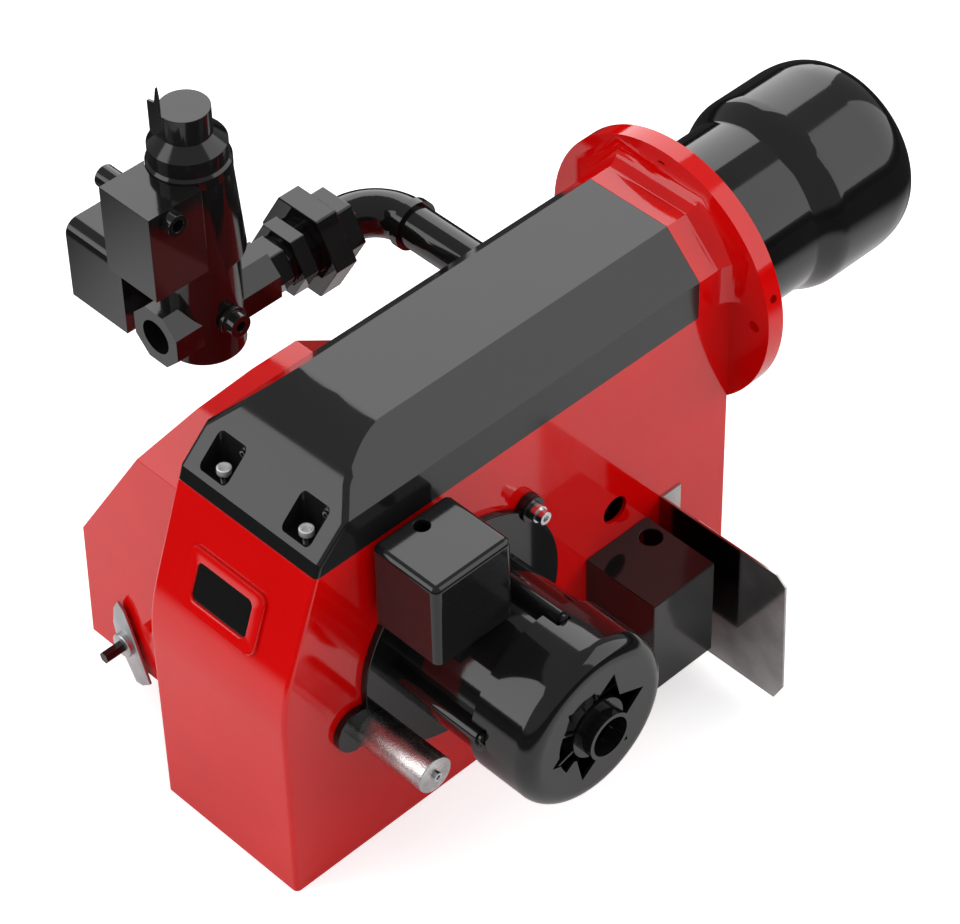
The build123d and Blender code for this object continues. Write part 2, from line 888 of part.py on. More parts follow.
# Shaft, rotor core and cooling fan
shaft_start = impeller_right - impeller_hub_length
shaft_end = cap_face - shaft_end_gap
with BuildPart() as shaft:
    with BuildSketch(facing_motor(shaft_start)):
        Circle(shaft_radius)
    extrude(amount=shaft_end - shaft_start)
    chamfer(shaft.edges().filter_by(GeomType.CIRCLE), 1)
shaft.part.label = "motor_shaft"

with BuildPart() as rotor_core:
    with BuildSketch(facing_motor(core_start)):
        Circle(core_bore_radius - air_gap)
        Circle(shaft_radius, mode=Mode.SUBTRACT)
    extrude(amount=core_length)
rotor_core.part.label = "rotor_core"

cooling_fan_start = stator_end + shield_thickness + bearing_width + 2 * running + 4 * seat
with BuildPart() as cooling_fan:
    with BuildSketch(facing_motor(cooling_fan_start)):
        Circle(2 * shaft_radius)
        with PolarLocations(cooling_fan_radius / 2, cooling_fan_blades):
            Rectangle(cooling_fan_radius, cooling_blade_thickness)
        Circle(shaft_radius, mode=Mode.SUBTRACT)
    extrude(amount=cooling_fan_width)
cooling_fan.part.label = "cooling_fan"

# Motor flange: disc with the screw ear and the capacitor ear
with BuildPart() as motor_flange:
    with BuildSketch(facing_motor(half_width)):
        Circle(motor_flange_radius)
        with PolarLocations(ear_distance, 1, ear_angle):
            Circle(ear_radius)
        with Locations((lower_ear_offset_y, lower_ear_offset_z)):
            Circle(lower_ear_radius)
        with PolarLocations(ear_distance, 1, ear_angle):
            Circle(screw_thread_radius + running, mode=Mode.SUBTRACT)
    extrude(amount=motor_flange_thickness)
    with BuildSketch(facing_motor(half_width + motor_flange_thickness)):
        Circle(bearing_radius + 5)
    extrude(amount=bearing_width - motor_flange_thickness / 2)
    with BuildSketch(facing_motor(half_width)):
        Circle(bearing_radius - 4)
    extrude(amount=4 * motor_flange_thickness, mode=Mode.SUBTRACT)
    with BuildSketch(facing_motor(half_width + motor_flange_thickness / 2)):
        Circle(bearing_radius)
    extrude(amount=4 * motor_flange_thickness, mode=Mode.SUBTRACT)
motor_flange.part.label = "motor_flange"

bearing_starts = [half_width + motor_flange_thickness / 2, stator_end + 1]
with BuildPart() as bearings:
    for start in bearing_starts:
        with BuildSketch(facing_motor(start)):
            Circle(bearing_radius - running)
            Circle(shaft_radius + running, mode=Mode.SUBTRACT)
        extrude(amount=bearing_width)
bearings.part.label = "motor_bearings"

# Stator shell with its terminal seat and tie bolt lugs
flange_face = half_width + motor_flange_thickness
seat_x = box_start + seat_inset
seat_y = box_front + box_depth - seat_depth / 2 - seat_rear_inset
with BuildPart() as stator:
    with BuildSketch(facing_motor(flange_face)):
        Circle(stator_radius)
    extrude(amount=stator_end - flange_face)
    with BuildSketch(facing_motor(flange_face)):
        for angle in tie_bolt_angles:
            with PolarLocations(tie_bolt_distance, 1, angle):
                Circle(tie_lug_radius)
            with PolarLocations(tie_bolt_distance - tie_lug_radius, 1, angle):
                Rectangle(2 * tie_lug_radius, 2 * tie_lug_radius)
        Circle(stator_radius - stator_wall / 2, mode=Mode.SUBTRACT)
    extrude(amount=tie_lug_end - flange_face)
    with BuildSketch(Plane.XY.offset(box_bottom)):
        with Locations((seat_x + seat_width / 2, seat_y)):
            Rectangle(seat_width, seat_depth)
    extrude(amount=-(stator_radius / 2))
    with BuildSketch(facing_motor(flange_face)):
        Circle(stator_radius - stator_wall)
    extrude(amount=stator_end - flange_face, mode=Mode.SUBTRACT)
    with BuildSketch(facing_motor(flange_face)):
        for angle in tie_bolt_angles:
            with PolarLocations(tie_bolt_distance, 1, angle):
                Circle(tie_bolt_radius + running)
    extrude(amount=tie_lug_end - flange_face, mode=Mode.SUBTRACT)
    with BuildSketch(facing_motor(stator_end)):
        Circle(stator_radius + running)
    extrude(amount=shield_thickness, mode=Mode.SUBTRACT)
stator.part.label = "motor_stator"

with BuildPart() as stator_core:
    with BuildSketch(facing_motor(core_start)):
        Circle(stator_radius - stator_wall - running)
        Circle(core_bore_radius, mode=Mode.SUBTRACT)
    extrude(amount=core_length)
stator_core.part.label = "stator_core"

with BuildPart() as rear_shield:
    with BuildSketch(facing_motor(stator_end)):
        Circle(stator_radius)
        Circle(bearing_radius, mode=Mode.SUBTRACT)
    extrude(amount=shield_thickness)
    with BuildSketch(facing_motor(stator_end + shield_thickness)):
        Circle(bearing_radius + 4)
        Circle(bearing_radius, mode=Mode.SUBTRACT)
    extrude(amount=bearing_width - shield_thickness + 1)
rear_shield.part.label = "rear_shield"

# End cap: rounded fan cowl, star vent, collar with open hub tube
star_corners = []
for index in range(2 * star_points):
    radius = star_outer_radius if index % 2 == 0 else star_inner_radius
    angle = math.radians(star_angle + index * 180 / star_points)
    star_corners.append((radius * math.cos(angle), radius * math.sin(angle)))
scoop_end = scoop_start + scoop_sweep
with BuildPart() as end_cap:
    with BuildSketch(drive_plane):
        with BuildLine():
            Polyline(
                (cap_start, stator_radius + tie_lug_radius / 2),
                (cap_start, cap_radius),
                (cap_face - cap_edge_radius, cap_radius),
            )
            RadiusArc(
                (cap_face - cap_edge_radius, cap_radius),
                (cap_face, cap_radius - cap_edge_radius),
                cap_edge_radius,
            )
            Polyline(
                (cap_face, cap_radius - cap_edge_radius),
                (cap_face, hub_bore_radius),
                (cap_face - cap_wall, hub_bore_radius),
                (cap_face - cap_wall, cap_radius - cap_edge_radius),
            )
            RadiusArc(
                (cap_face - cap_wall, cap_radius - cap_edge_radius),
                (cap_face - cap_edge_radius, cap_radius - cap_wall),
                -(cap_edge_radius - cap_wall),
            )
            Polyline(
                (cap_face - cap_edge_radius, cap_radius - cap_wall),
                (cap_start, stator_radius + tie_lug_radius / 2),
            )
        make_face()
    revolve(axis=drive_axis)
    with BuildSketch(facing_motor(cap_face)):
        Polygon(*star_corners, align=None)
        with BuildLine():
            PolarLine((0, 0), scoop_radius, scoop_start)
            PolarLine((0, 0), scoop_radius, scoop_end)
            CenterArc((0, 0), scoop_radius, scoop_start, scoop_sweep)
        make_face()
        Circle(hub_petal_radius, mode=Mode.SUBTRACT)
    extrude(amount=-cap_edge_radius / 2, mode=Mode.SUBTRACT)
    with BuildSketch(facing_motor(cap_start)):
        for angle in tie_bolt_angles:
            with PolarLocations(tie_bolt_distance, 1, angle):
                Circle(tie_lug_radius + tie_notch_gap)
            with PolarLocations(tie_bolt_distance - tie_lug_radius, 1, angle):
                Rectangle(2 * tie_lug_radius, 2 * (tie_lug_radius + tie_notch_gap))
    extrude(amount=tie_lug_end + tie_bolt_head_height + tie_notch_gap - cap_start, mode=Mode.SUBTRACT)
    rib_length = scoop_radius - hub_petal_radius + 2 * rib_thickness
    with BuildSketch(facing_motor(cap_face - rib_thickness / 2)):
        for index in range(rib_count):
            rib_angle = scoop_start + (index + 0.5) * scoop_sweep / rib_count
            with PolarLocations((scoop_radius + hub_petal_radius) / 2, 1, rib_angle):
                Rectangle(rib_length, rib_thickness)
    extrude(amount=-rib_thickness)
    with BuildSketch(facing_motor(cap_face)):
        Circle(hub_tube_radius)
        Circle(hub_bore_radius, mode=Mode.SUBTRACT)
    extrude(amount=hub_tube_end - cap_face)
end_cap.part.label = "motor_end_cap"

with BuildPart() as tie_bolts:
    with BuildSketch(facing_motor(flange_face)):
        for angle in tie_bolt_angles:
            with PolarLocations(tie_bolt_distance, 1, angle):
                Circle(tie_bolt_radius)
    extrude(amount=tie_lug_end - flange_face)
    with BuildSketch(facing_motor(tie_lug_end)):
        for angle in tie_bolt_angles:
            with PolarLocations(tie_bolt_distance, 1, angle):
                Circle(tie_bolt_head_radius)
    extrude(amount=tie_bolt_head_height)
tie_bolts.part.label = "motor_tie_bolts"

# Motor screw with its washer and spacer
ear_y = axis_y + ear_distance * math.cos(math.radians(ear_angle))
ear_z = axis_z + ear_distance * math.sin(math.radians(ear_angle))
screw_head_x = flange_face + washer_thickness + spacer_length
with BuildPart() as mount_washer:
    with BuildSketch(facing_motor(flange_face, ear_y, ear_z)):
        Circle(screw_washer_radius)
        Circle(screw_thread_radius + running, mode=Mode.SUBTRACT)
    extrude(amount=washer_thickness)
mount_washer.part.label = "mount_washer"

with BuildPart() as mount_spacer:
    with BuildSketch(facing_motor(flange_face + washer_thickness, ear_y, ear_z)):
        Circle(screw_spacer_radius)
        Circle(screw_thread_radius + running, mode=Mode.SUBTRACT)
    extrude(amount=spacer_length)
mount_spacer.part.label = "mount_spacer"

with BuildPart() as mount_screw:
    with BuildSketch(facing_motor(half_width - 2 * wall, ear_y, ear_z)):
        Circle(screw_thread_radius)
    extrude(amount=screw_head_x - half_width + 2 * wall)
    with BuildSketch(facing_motor(screw_head_x, ear_y, ear_z)):
        Circle(screw_head_radius)
    extrude(amount=screw_head_height)
    with BuildSketch(facing_motor(screw_head_x + screw_head_height, ear_y, ear_z)):
        RegularPolygon(screw_head_radius / 2, 6)
    extrude(amount=-screw_hexagon_depth, mode=Mode.SUBTRACT)
mount_screw.part.label = "mount_screw"

# Capacitor on the lower ear
capacitor_y = axis_y + capacitor_offset_y
capacitor_z = axis_z + capacitor_offset_z
with BuildPart() as capacitor:
    with BuildSketch(facing_motor(flange_face, capacitor_y, capacitor_z)):
        Circle(capacitor_radius)
    extrude(amount=capacitor_end - flange_face)
    fillet(capacitor.edges().group_by(Axis.X)[-1], 1)
capacitor.part.label = "run_capacitor"

with BuildPart() as capacitor_stud:
    with BuildSketch(facing_motor(capacitor_end, capacitor_y, capacitor_z)):
        Circle(capacitor_stud_radius)
    extrude(amount=capacitor_stud_length)
    with BuildSketch(facing_motor(capacitor_end + capacitor_stud_length, capacitor_y, capacitor_z)):
        Circle(capacitor_stud_radius / 2)
    extrude(amount=-capacitor_stud_length + 1, mode=Mode.SUBTRACT)
capacitor_stud.part.label = "capacitor_stud"

# Terminal box: rounded shell, open under the lid's thickness
with BuildPart() as terminal_box:
    with BuildSketch(Plane.XY.offset(box_bottom)):
        with Locations((box_start + box_width / 2, box_front + box_depth / 2)):
            RectangleRounded(box_width, box_depth, box_edge_radius)
    extrude(amount=box_height)
    fillet(terminal_box.faces().sort_by(Axis.Z)[-1].edges(), box_edge_radius - 1)
    with BuildSketch(Plane.XY.offset(box_bottom + box_wall)):
        with Locations((box_start + box_width / 2, box_front + box_depth / 2)):
            Rectangle(box_width - 4 * box_wall, box_depth - 4 * box_wall)
    extrude(amount=box_height - 3 * box_wall, mode=Mode.SUBTRACT)
    with BuildSketch(Plane.XY.offset(box_bottom + box_height)):
        with Locations((box_hole_x, box_front + box_hole_inset)):
            Circle(box_hole_radius)
    extrude(amount=-box_height / 2, mode=Mode.SUBTRACT)
terminal_box.part.label = "terminal_box"

# Side connection box, open towards the wall
side_box_center_x = half_width + side_box_width / 2
side_box_center_y = side_box_front + side_box_depth / 2
side_box_hole_x = half_width + side_box_width / 4
side_box_hole_y = side_box_front + side_box_depth - side_box_hole_inset
with BuildPart() as side_box:
    with BuildSketch(Plane.XY.offset(side_box_bottom)):
        with Locations((side_box_center_x, side_box_center_y)):
            Rectangle(side_box_width, side_box_depth)
    extrude(amount=side_box_height)
    offset(amount=-box_wall, openings=side_box.faces().sort_by(Axis.X)[0])
    with BuildSketch(Plane.XY.offset(side_box_bottom + side_box_height)):
        with Locations((side_box_hole_x, side_box_hole_y)):
            Circle(side_box_hole_radius)
    extrude(amount=-2 * box_wall, mode=Mode.SUBTRACT)
side_box.part.label = "side_connection_box"

# Angle bracket: upright sheet with a tab on the wall
with BuildPart() as bracket:
    with BuildSketch(Plane.XZ.offset(-bracket_y)):
        Polygon(
            (half_width, bracket_bottom),
            (half_width, bracket_top),
            (bracket_reach - 14, bracket_top),
            (bracket_reach - 3, bracket_top - 9),
            (bracket_reach, bracket_bottom + 20),
            (bracket_reach - 10, bracket_bottom),
            align=None,
        )
    extrude(amount=-bracket_thickness)
    with BuildSketch(facing_motor(half_width, bracket_y, bracket_bottom)):
        with Locations((bracket_tab / 2, (bracket_top - bracket_bottom) / 2)):
            Rectangle(bracket_tab, bracket_top - bracket_bottom)
    extrude(amount=bracket_thickness)
bracket.part.label = "angle_bracket"

# Air intake box on the left wall
intake_rear = intake_front + intake_length
intake_center_y = intake_front + intake_length / 2
intake_crown = [
    (intake_front, intake_crown_z - intake_front_drop),
    (intake_front + intake_knee, intake_crown_z - intake_knee_drop),
    (intake_front + intake_crown_start, intake_crown_z),
    (intake_front + intake_crown_end, intake_crown_z - intake_crown_fall),
    (intake_rear, intake_crown_z - intake_rear_drop),
]
with BuildPart() as intake_core:
    with BuildSketch(Plane.XZ.offset(-intake_front - intake_wall)):
        Polygon(
            (-half_width, intake_bottom + intake_wall),
            (-half_width, intake_crown_z),
            (intake_top_edge_x + intake_wall, intake_crown_z),
            (intake_side_x + intake_wall, intake_shoulder_z),
            (intake_side_x - intake_taper + intake_wall, intake_bottom + intake_wall),
            align=None,
        )
    extrude(amount=-(intake_length - 2 * intake_wall))
    with BuildSketch(Plane.YZ.offset(-half_width)):
        Polygon(
            (intake_front, intake_bottom),
            *[(y, z - intake_wall) for y, z in intake_crown],
            (intake_rear, intake_bottom),
            align=None,
        )
    extrude(amount=-2 * half_width, mode=Mode.INTERSECT)
    for side in (-1, 1):
        with BuildSketch(Plane.XY.offset(intake_bottom)):
            with Locations((damper_x + side * (duct_width + intake_wall) / 2, intake_center_y)):
                Rectangle(intake_wall, duct_length)
        extrude(amount=duct_height, mode=Mode.SUBTRACT)

with BuildPart() as intake_box:
    with BuildSketch(Plane.XZ.offset(-intake_front)):
        Polygon(
            (-half_width, intake_bottom),
            (-half_width, intake_crown_z),
            (intake_top_edge_x, intake_crown_z),
            (intake_side_x, intake_shoulder_z),
            (intake_side_x - intake_taper, intake_bottom),
            align=None,
        )
    extrude(amount=-intake_length)
    with BuildSketch(Plane.YZ.offset(-half_width)):
        Polygon(
            (intake_front, intake_bottom),
            *intake_crown,
            (intake_rear, intake_bottom),
            align=None,
        )
    extrude(amount=-2 * half_width, mode=Mode.INTERSECT)
    add(intake_core.part, mode=Mode.SUBTRACT)
    with BuildSketch(Plane.XY.offset(intake_bottom)):
        with Locations((damper_x, intake_center_y)):
            Rectangle(duct_width, duct_length)
    extrude(amount=intake_wall, mode=Mode.SUBTRACT)
    with BuildSketch(facing_flame(damper_x, intake_front, damper_z)):
        Circle(damper_shaft_radius + running)
    extrude(amount=intake_length, mode=Mode.SUBTRACT)
intake_box.part.label = "air_intake_box"

# Damper: shaft, blade and the outside lever on its hexagon end
blade_direction = (
    -math.sin(math.radians(damper_rest_angle)),
    0,
    math.cos(math.radians(damper_rest_angle)),
)
lever_y = intake_front - lever_gap
lever_plane = Plane(origin=(damper_x, lever_y, damper_z), x_dir=blade_direction, z_dir=(0, -1, 0))
with BuildPart() as damper_shaft:
    with BuildSketch(facing_flame(damper_x, lever_y, damper_z)):
        Circle(damper_shaft_radius)
    extrude(amount=intake_length + lever_gap)
    with BuildSketch(lever_plane):
        RegularPolygon(hex_end_radius, 6)
    extrude(amount=hex_end_length + 2 * lever_thickness)
damper_shaft.part.label = "damper_shaft"

blade_plane = Plane(
    origin=(damper_x, intake_center_y - duct_length / 2 + blade_gap, damper_z),
    x_dir=blade_direction,
    z_dir=(0, 1, 0),
)
with BuildPart() as damper_blade:
    with BuildSketch(blade_plane):
        Rectangle(duct_width - 2 * blade_gap, damper_thickness)
        Circle(damper_shaft_radius + damper_thickness)
        Circle(damper_shaft_radius, mode=Mode.SUBTRACT)
    extrude(amount=duct_length - 2 * blade_gap)
damper_blade.part.label = "damper_blade"

with BuildPart() as damper_lever:
    with BuildSketch(lever_plane):
        Polygon(
            (lever_upper, -lever_width * 0.1),
            (lever_upper * 0.72, lever_width * 0.4),
            (0, lever_width * 0.62),
            (-lever_lower, lever_width * 0.5),
            (-lever_lower * 0.86, -lever_width * 0.5),
            (0, -lever_width * 0.5),
            (lever_upper * 0.85, -lever_width * 0.3),
            align=None,
        )
        Circle(lever_hub_radius)
        RegularPolygon(hex_end_radius, 6, mode=Mode.SUBTRACT)
    extrude(amount=lever_thickness)
    with BuildSketch(lever_plane.offset(lever_thickness)):
        Circle(lever_hub_radius)
        RegularPolygon(hex_end_radius, 6, mode=Mode.SUBTRACT)
    extrude(amount=lever_thickness)
damper_lever.part.label = "damper_lever"

# Gas pipe from the manifold through the left wall
with BuildPart() as gas_pipe:
    with BuildSketch(facing_motor(elbow_collar_x, pipe_y, train_z)):
        Circle(pipe_radius)
        Circle(pipe_bore, mode=Mode.SUBTRACT)
    extrude(amount=-manifold_width / 2 - elbow_collar_x)
gas_pipe.part.label = "gas_pipe"

# Elbow from the pipe to the union, swept round a quarter bend
with BuildPart() as elbow:
    with BuildLine(Plane.XY.offset(train_z)) as elbow_path:
        Line((elbow_collar_x, pipe_y), (train_x + elbow_radius, pipe_y))
        RadiusArc(
            (train_x + elbow_radius, pipe_y), (train_x, pipe_y - elbow_radius), -elbow_radius
        )
        Line((train_x, pipe_y - elbow_radius), (train_x, elbow_end_y))
    elbow_wire = elbow_path.wire()
    with BuildSketch(facing_motor(elbow_collar_x, pipe_y, train_z)):
        Circle(elbow_tube_radius)
    sweep(path=elbow_wire)
    with BuildSketch(facing_motor(elbow_collar_x, pipe_y, train_z)):
        Circle(elbow_collar_radius)
    extrude(amount=-elbow_collar_length)
    with BuildSketch(facing_motor(elbow_collar_x, pipe_y, train_z)):
        Circle(pipe_bore)
    sweep(path=elbow_wire, mode=Mode.SUBTRACT)
elbow.part.label = "pipe_elbow"

# Union and adapter: hexagons in line with the valve
union_end_y = elbow_end_y - union_end_length
nut_y = union_end_y - union_nut_length
neck_y = nut_y - union_neck_length
tail_y = neck_y - tail_length
tail_neck_y = tail_y - tail_neck_length
adapter_y = tail_neck_y - adapter_length
with BuildPart() as union_end:
    with BuildSketch(facing_flame(train_x, union_end_y, train_z)):
        RegularPolygon(union_end_radius, 6)
        Circle(pipe_bore, mode=Mode.SUBTRACT)
    extrude(amount=union_end_length)
union_end.part.label = "union_end"

with BuildPart() as union_nut:
    with BuildSketch(facing_flame(train_x, nut_y, train_z)):
        RegularPolygon(union_nut_radius, 6)
        Circle(union_neck_radius, mode=Mode.SUBTRACT)
    extrude(amount=union_nut_length)
union_nut.part.label = "union_nut"

with BuildPart() as union_tail:
    with BuildSketch(facing_flame(train_x, union_end_y, train_z)):
        Circle(union_neck_radius)
    extrude(amount=-union_nut_length - union_neck_length)
    with BuildSketch(facing_flame(train_x, neck_y, train_z)):
        RegularPolygon(tail_radius, 6)
    extrude(amount=-tail_length)
    with BuildSketch(facing_flame(train_x, tail_y, train_z)):
        Circle(tail_neck_radius)
    extrude(amount=-tail_neck_length)
    with BuildSketch(facing_flame(train_x, union_end_y, train_z)):
        Circle(pipe_bore)
    extrude(amount=-(union_end_y - tail_neck_y), mode=Mode.SUBTRACT)
union_tail.part.label = "union_tail"

with BuildPart() as adapter:
    with BuildSketch(facing_flame(train_x, tail_neck_y, train_z)):
        RegularPolygon(adapter_radius, 6)
        Circle(pipe_bore, mode=Mode.SUBTRACT)
    extrude(amount=-adapter_length)
adapter.part.label = "valve_adapter"

# Valve body: upright barrel with two eight-sided ports
with BuildPart() as valve_body:
    with BuildSketch(Plane.XY.offset(valve_bottom)):
        with Locations((train_x, valve_y)):
            Circle(valve_radius)
    extrude(amount=valve_top - valve_bottom)
    fillet(valve_body.edges().group_by(Axis.Z)[0], 3)
    with BuildSketch(facing_flame(train_x, inlet_end_y, train_z)):
        RegularPolygon(port_radius, 8, rotation=22.5)
    extrude(amount=valve_y - inlet_end_y)
    with BuildSketch(facing_flame(train_x, adapter_y, train_z)):
        RegularPolygon(port_radius, 8, rotation=22.5)
    extrude(amount=valve_y - adapter_y)
    with BuildSketch(facing_flame(train_x, inlet_end_y, train_z)):
        Circle(inlet_bore)
    extrude(amount=valve_y - inlet_end_y, mode=Mode.SUBTRACT)
    with BuildSketch(facing_flame(train_x, adapter_y, train_z)):
        Circle(pipe_bore)
    extrude(amount=valve_y + outlet_bore_end - adapter_y, mode=Mode.SUBTRACT)
    with BuildSketch(Plane.XY.offset(train_z)):
        with Locations((train_x, valve_y)):
            Circle(valve_seat_radius)
        with Locations((train_x, valve_y + transfer_offset)):
            Circle(transfer_radius)
    extrude(amount=valve_seat_z - train_z, mode=Mode.SUBTRACT)
    with BuildSketch(Plane.XY.offset(valve_seat_z)):
        with Locations((train_x, valve_y)):
            Circle(valve_chamber_radius + 3)
    extrude(amount=valve_top - valve_seat_z, mode=Mode.SUBTRACT)
valve_body.part.label = "valve_body"

with BuildPart() as plunger:
    with BuildSketch(Plane.XY.offset(valve_seat_z + seat)):
        with Locations((train_x, valve_y)):
            Circle(plunger_radius)
    extrude(amount=plunger_thickness)
    with BuildSketch(Plane.XY.offset(valve_seat_z + seat + plunger_thickness)):
        with Locations((train_x, valve_y)):
            Circle(stem_radius)
    extrude(amount=stem_top - valve_seat_z - plunger_thickness)
plunger.part.label = "valve_plunger"

# Coil housing with its lip, band and cone
with BuildPart() as coil:
    with BuildSketch(Plane.XY.offset(valve_top)):
        with Locations((train_x, valve_y)):
            Circle(coil_base_radius)
    with BuildSketch(Plane.XY.offset(coil_top)):
        with Locations((train_x, valve_y)):
            Circle(coil_top_radius)
    loft()
    with BuildSketch(Plane.XY.offset(valve_top)):
        with Locations((train_x, valve_y)):
            Circle(stem_radius + running)
    extrude(amount=stem_top + plunger_travel + 2 - valve_top, mode=Mode.SUBTRACT)
coil.part.label = "coil_housing"

lip_top = coil_top + lip_height
band_ring_top = lip_top + band_ring_height
cone_top = band_ring_top + cone_height
with BuildPart() as coil_cap:
    with BuildSketch(Plane.XY.offset(coil_top)):
        with Locations((train_x, valve_y)):
            Circle(lip_radius)
    extrude(amount=lip_height)
    chamfer(coil_cap.edges().group_by(Axis.Z)[-1], lip_chamfer)
    with BuildSketch(Plane.XY.offset(lip_top)):
        with Locations((train_x, valve_y)):
            Circle(band_ring_radius)
    extrude(amount=band_ring_height)
    with BuildSketch(Plane.XY.offset(band_ring_top)):
        with Locations((train_x, valve_y)):
            Circle(band_ring_radius)
    with BuildSketch(Plane.XY.offset(cone_top)):
        with Locations((train_x, valve_y)):
            Circle(cap_knob_radius)
    loft()
coil_cap.part.label = "coil_cap"

with BuildPart() as adjuster_cap:
    with BuildSketch(Plane.XY.offset(cone_top + seat)):
        with Locations((train_x, valve_y)):
            Circle(cap_knob_radius)
    extrude(amount=cap_knob_height)
    with BuildSketch(Plane.XY.offset(cone_top + seat)):
        with Locations((train_x - knob_lug_width / 2, valve_y - knob_lug_reach / 2)):
            Rectangle(knob_lug_width, knob_lug_reach)
    extrude(amount=cap_knob_height)
    knob_top = cone_top + seat + cap_knob_height
    with BuildSketch(Plane.XZ.offset(knob_lug_reach - valve_y)):
        Polygon(
            (train_x - knob_lug_width, knob_top - knob_fin_height),
            (train_x - knob_lug_width, knob_top + knob_fin_height),
            (train_x - knob_lug_width / 2, knob_top + 1.3 * knob_fin_height),
            (train_x - knob_lug_width / 3, knob_top + knob_spike_height),
            (train_x - knob_lug_width / 4, knob_top + 2 * knob_fin_height),
            (train_x - knob_lug_width / 4, knob_top - knob_fin_height),
            align=None,
        )
    extrude(amount=-knob_fin_thickness)
adjuster_cap.part.label = "flow_adjuster_cap"

# Connector block in front of the coil, with its two cable glands
with BuildPart() as coil_space:
    with BuildSketch(Plane.XY.offset(valve_top)):
        with Locations((train_x, valve_y)):
            Circle(coil_base_radius + seat)
    with BuildSketch(Plane.XY.offset(coil_top)):
        with Locations((train_x, valve_y)):
            Circle(coil_top_radius + seat)
    loft()

connector_center_x = connector_right - connector_width / 2
with BuildPart() as connector:
    with BuildSketch(Plane.XY.offset(connector_bottom)):
        with Locations((connector_center_x, connector_front + connector_depth / 2)):
            Rectangle(connector_width, connector_depth)
    extrude(amount=connector_height)
    with BuildSketch(Plane.XY.offset(coil_top)):
        with Locations((train_x, valve_y)):
            Circle(lip_radius + seat)
    extrude(amount=lip_height + 1, mode=Mode.SUBTRACT)
    add(coil_space.part, mode=Mode.SUBTRACT)
connector.part.label = "connector_block"

gland_y = connector_front + gland_setback
gland_z = connector_bottom + gland_height
with BuildPart() as glands:
    with BuildSketch(facing_motor(connector_right, gland_y, gland_z)):
        Circle(gland_radius)
        Circle(gland_bore, mode=Mode.SUBTRACT)
    extrude(amount=gland_length_right)
    with BuildSketch(facing_motor(connector_right - connector_width, gland_y, gland_z)):
        Circle(gland_radius)
        Circle(gland_bore, mode=Mode.SUBTRACT)
    extrude(amount=-gland_length_left)
glands.part.label = "cable_glands"

# Gas pressure switch on the valve's left side
with BuildPart() as pressure_switch:
    with BuildSketch(Plane.XY.offset(switch_bottom)):
        with Locations((switch_right - switch_width / 2, switch_front + switch_depth / 2)):
            Rectangle(switch_width, switch_depth)
    extrude(amount=switch_height)
    fillet(pressure_switch.faces().sort_by(Axis.Z)[-1].edges().filter_by(Axis.X), switch_edge_radius)
    with BuildSketch(facing_motor(switch_right, valve_y, valve_seat_z)):
        Circle(nipple_radius)
    extrude(amount=train_x - valve_radius - seat - switch_right)
pressure_switch.part.label = "gas_pressure_switch"

with BuildPart() as nipple:
    with BuildSketch(facing_motor(train_x + valve_radius + seat, valve_y, nipple_z)):
        Circle(nipple_radius)
    extrude(amount=nipple_length)
    with BuildSketch(facing_motor(train_x + valve_radius + seat, valve_y, nipple_z)):
        Circle(nipple_collar_radius)
    extrude(amount=nipple_collar_length)
    with BuildSketch(facing_motor(train_x + valve_radius + seat, valve_y, nipple_z)):
        Circle(nipple_bore)
    extrude(amount=nipple_length, mode=Mode.SUBTRACT)
nipple.part.label = "test_nipple"

pieces = [
    housing, window_frame, window_pane, flange, set_screw, blast_tube, manifold, head_tube,
    nozzle, flame_disc, head_support, clamp, insulators, electrode_wires, cover, cover_screws,
    component_plate, control_unit, transformer, air_switch, volute, inlet_ring, impeller, shaft,
    rotor_core, cooling_fan, motor_flange, bearings, stator, stator_core, rear_shield, end_cap,
    tie_bolts, mount_washer, mount_spacer, mount_screw, capacitor, capacitor_stud, terminal_box,
    side_box, bracket, intake_box, damper_shaft, damper_blade, damper_lever, gas_pipe, elbow,
    union_end, union_nut, union_tail, adapter, valve_body, plunger, coil, coil_cap, adjuster_cap,
    connector, glands, pressure_switch, nipple,
]
os.makedirs("parts", exist_ok=True)
for piece in pieces:
    export_step(piece.part, f"parts/{piece.part.label}.step")
print(len(pieces), "pieces written")
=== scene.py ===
import bpy
import bmesh
import math
from mathutils import Matrix, Vector


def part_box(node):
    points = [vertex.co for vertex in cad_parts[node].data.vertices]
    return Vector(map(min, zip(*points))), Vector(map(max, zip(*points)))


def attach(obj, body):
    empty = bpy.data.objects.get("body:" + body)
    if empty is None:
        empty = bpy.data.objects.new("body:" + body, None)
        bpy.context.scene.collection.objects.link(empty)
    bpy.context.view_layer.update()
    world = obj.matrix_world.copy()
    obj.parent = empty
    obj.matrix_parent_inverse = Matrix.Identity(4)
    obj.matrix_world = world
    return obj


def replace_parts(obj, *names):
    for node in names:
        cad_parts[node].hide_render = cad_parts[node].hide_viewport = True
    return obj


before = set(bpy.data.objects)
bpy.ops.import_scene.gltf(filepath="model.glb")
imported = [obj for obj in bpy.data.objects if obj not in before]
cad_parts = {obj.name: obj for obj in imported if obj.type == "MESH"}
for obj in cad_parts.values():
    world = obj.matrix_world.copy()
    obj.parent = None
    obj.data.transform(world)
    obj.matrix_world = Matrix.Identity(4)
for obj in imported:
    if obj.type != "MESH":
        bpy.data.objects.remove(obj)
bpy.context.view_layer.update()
scene = bpy.context.scene
mm = 0.001
print("frame loaded")


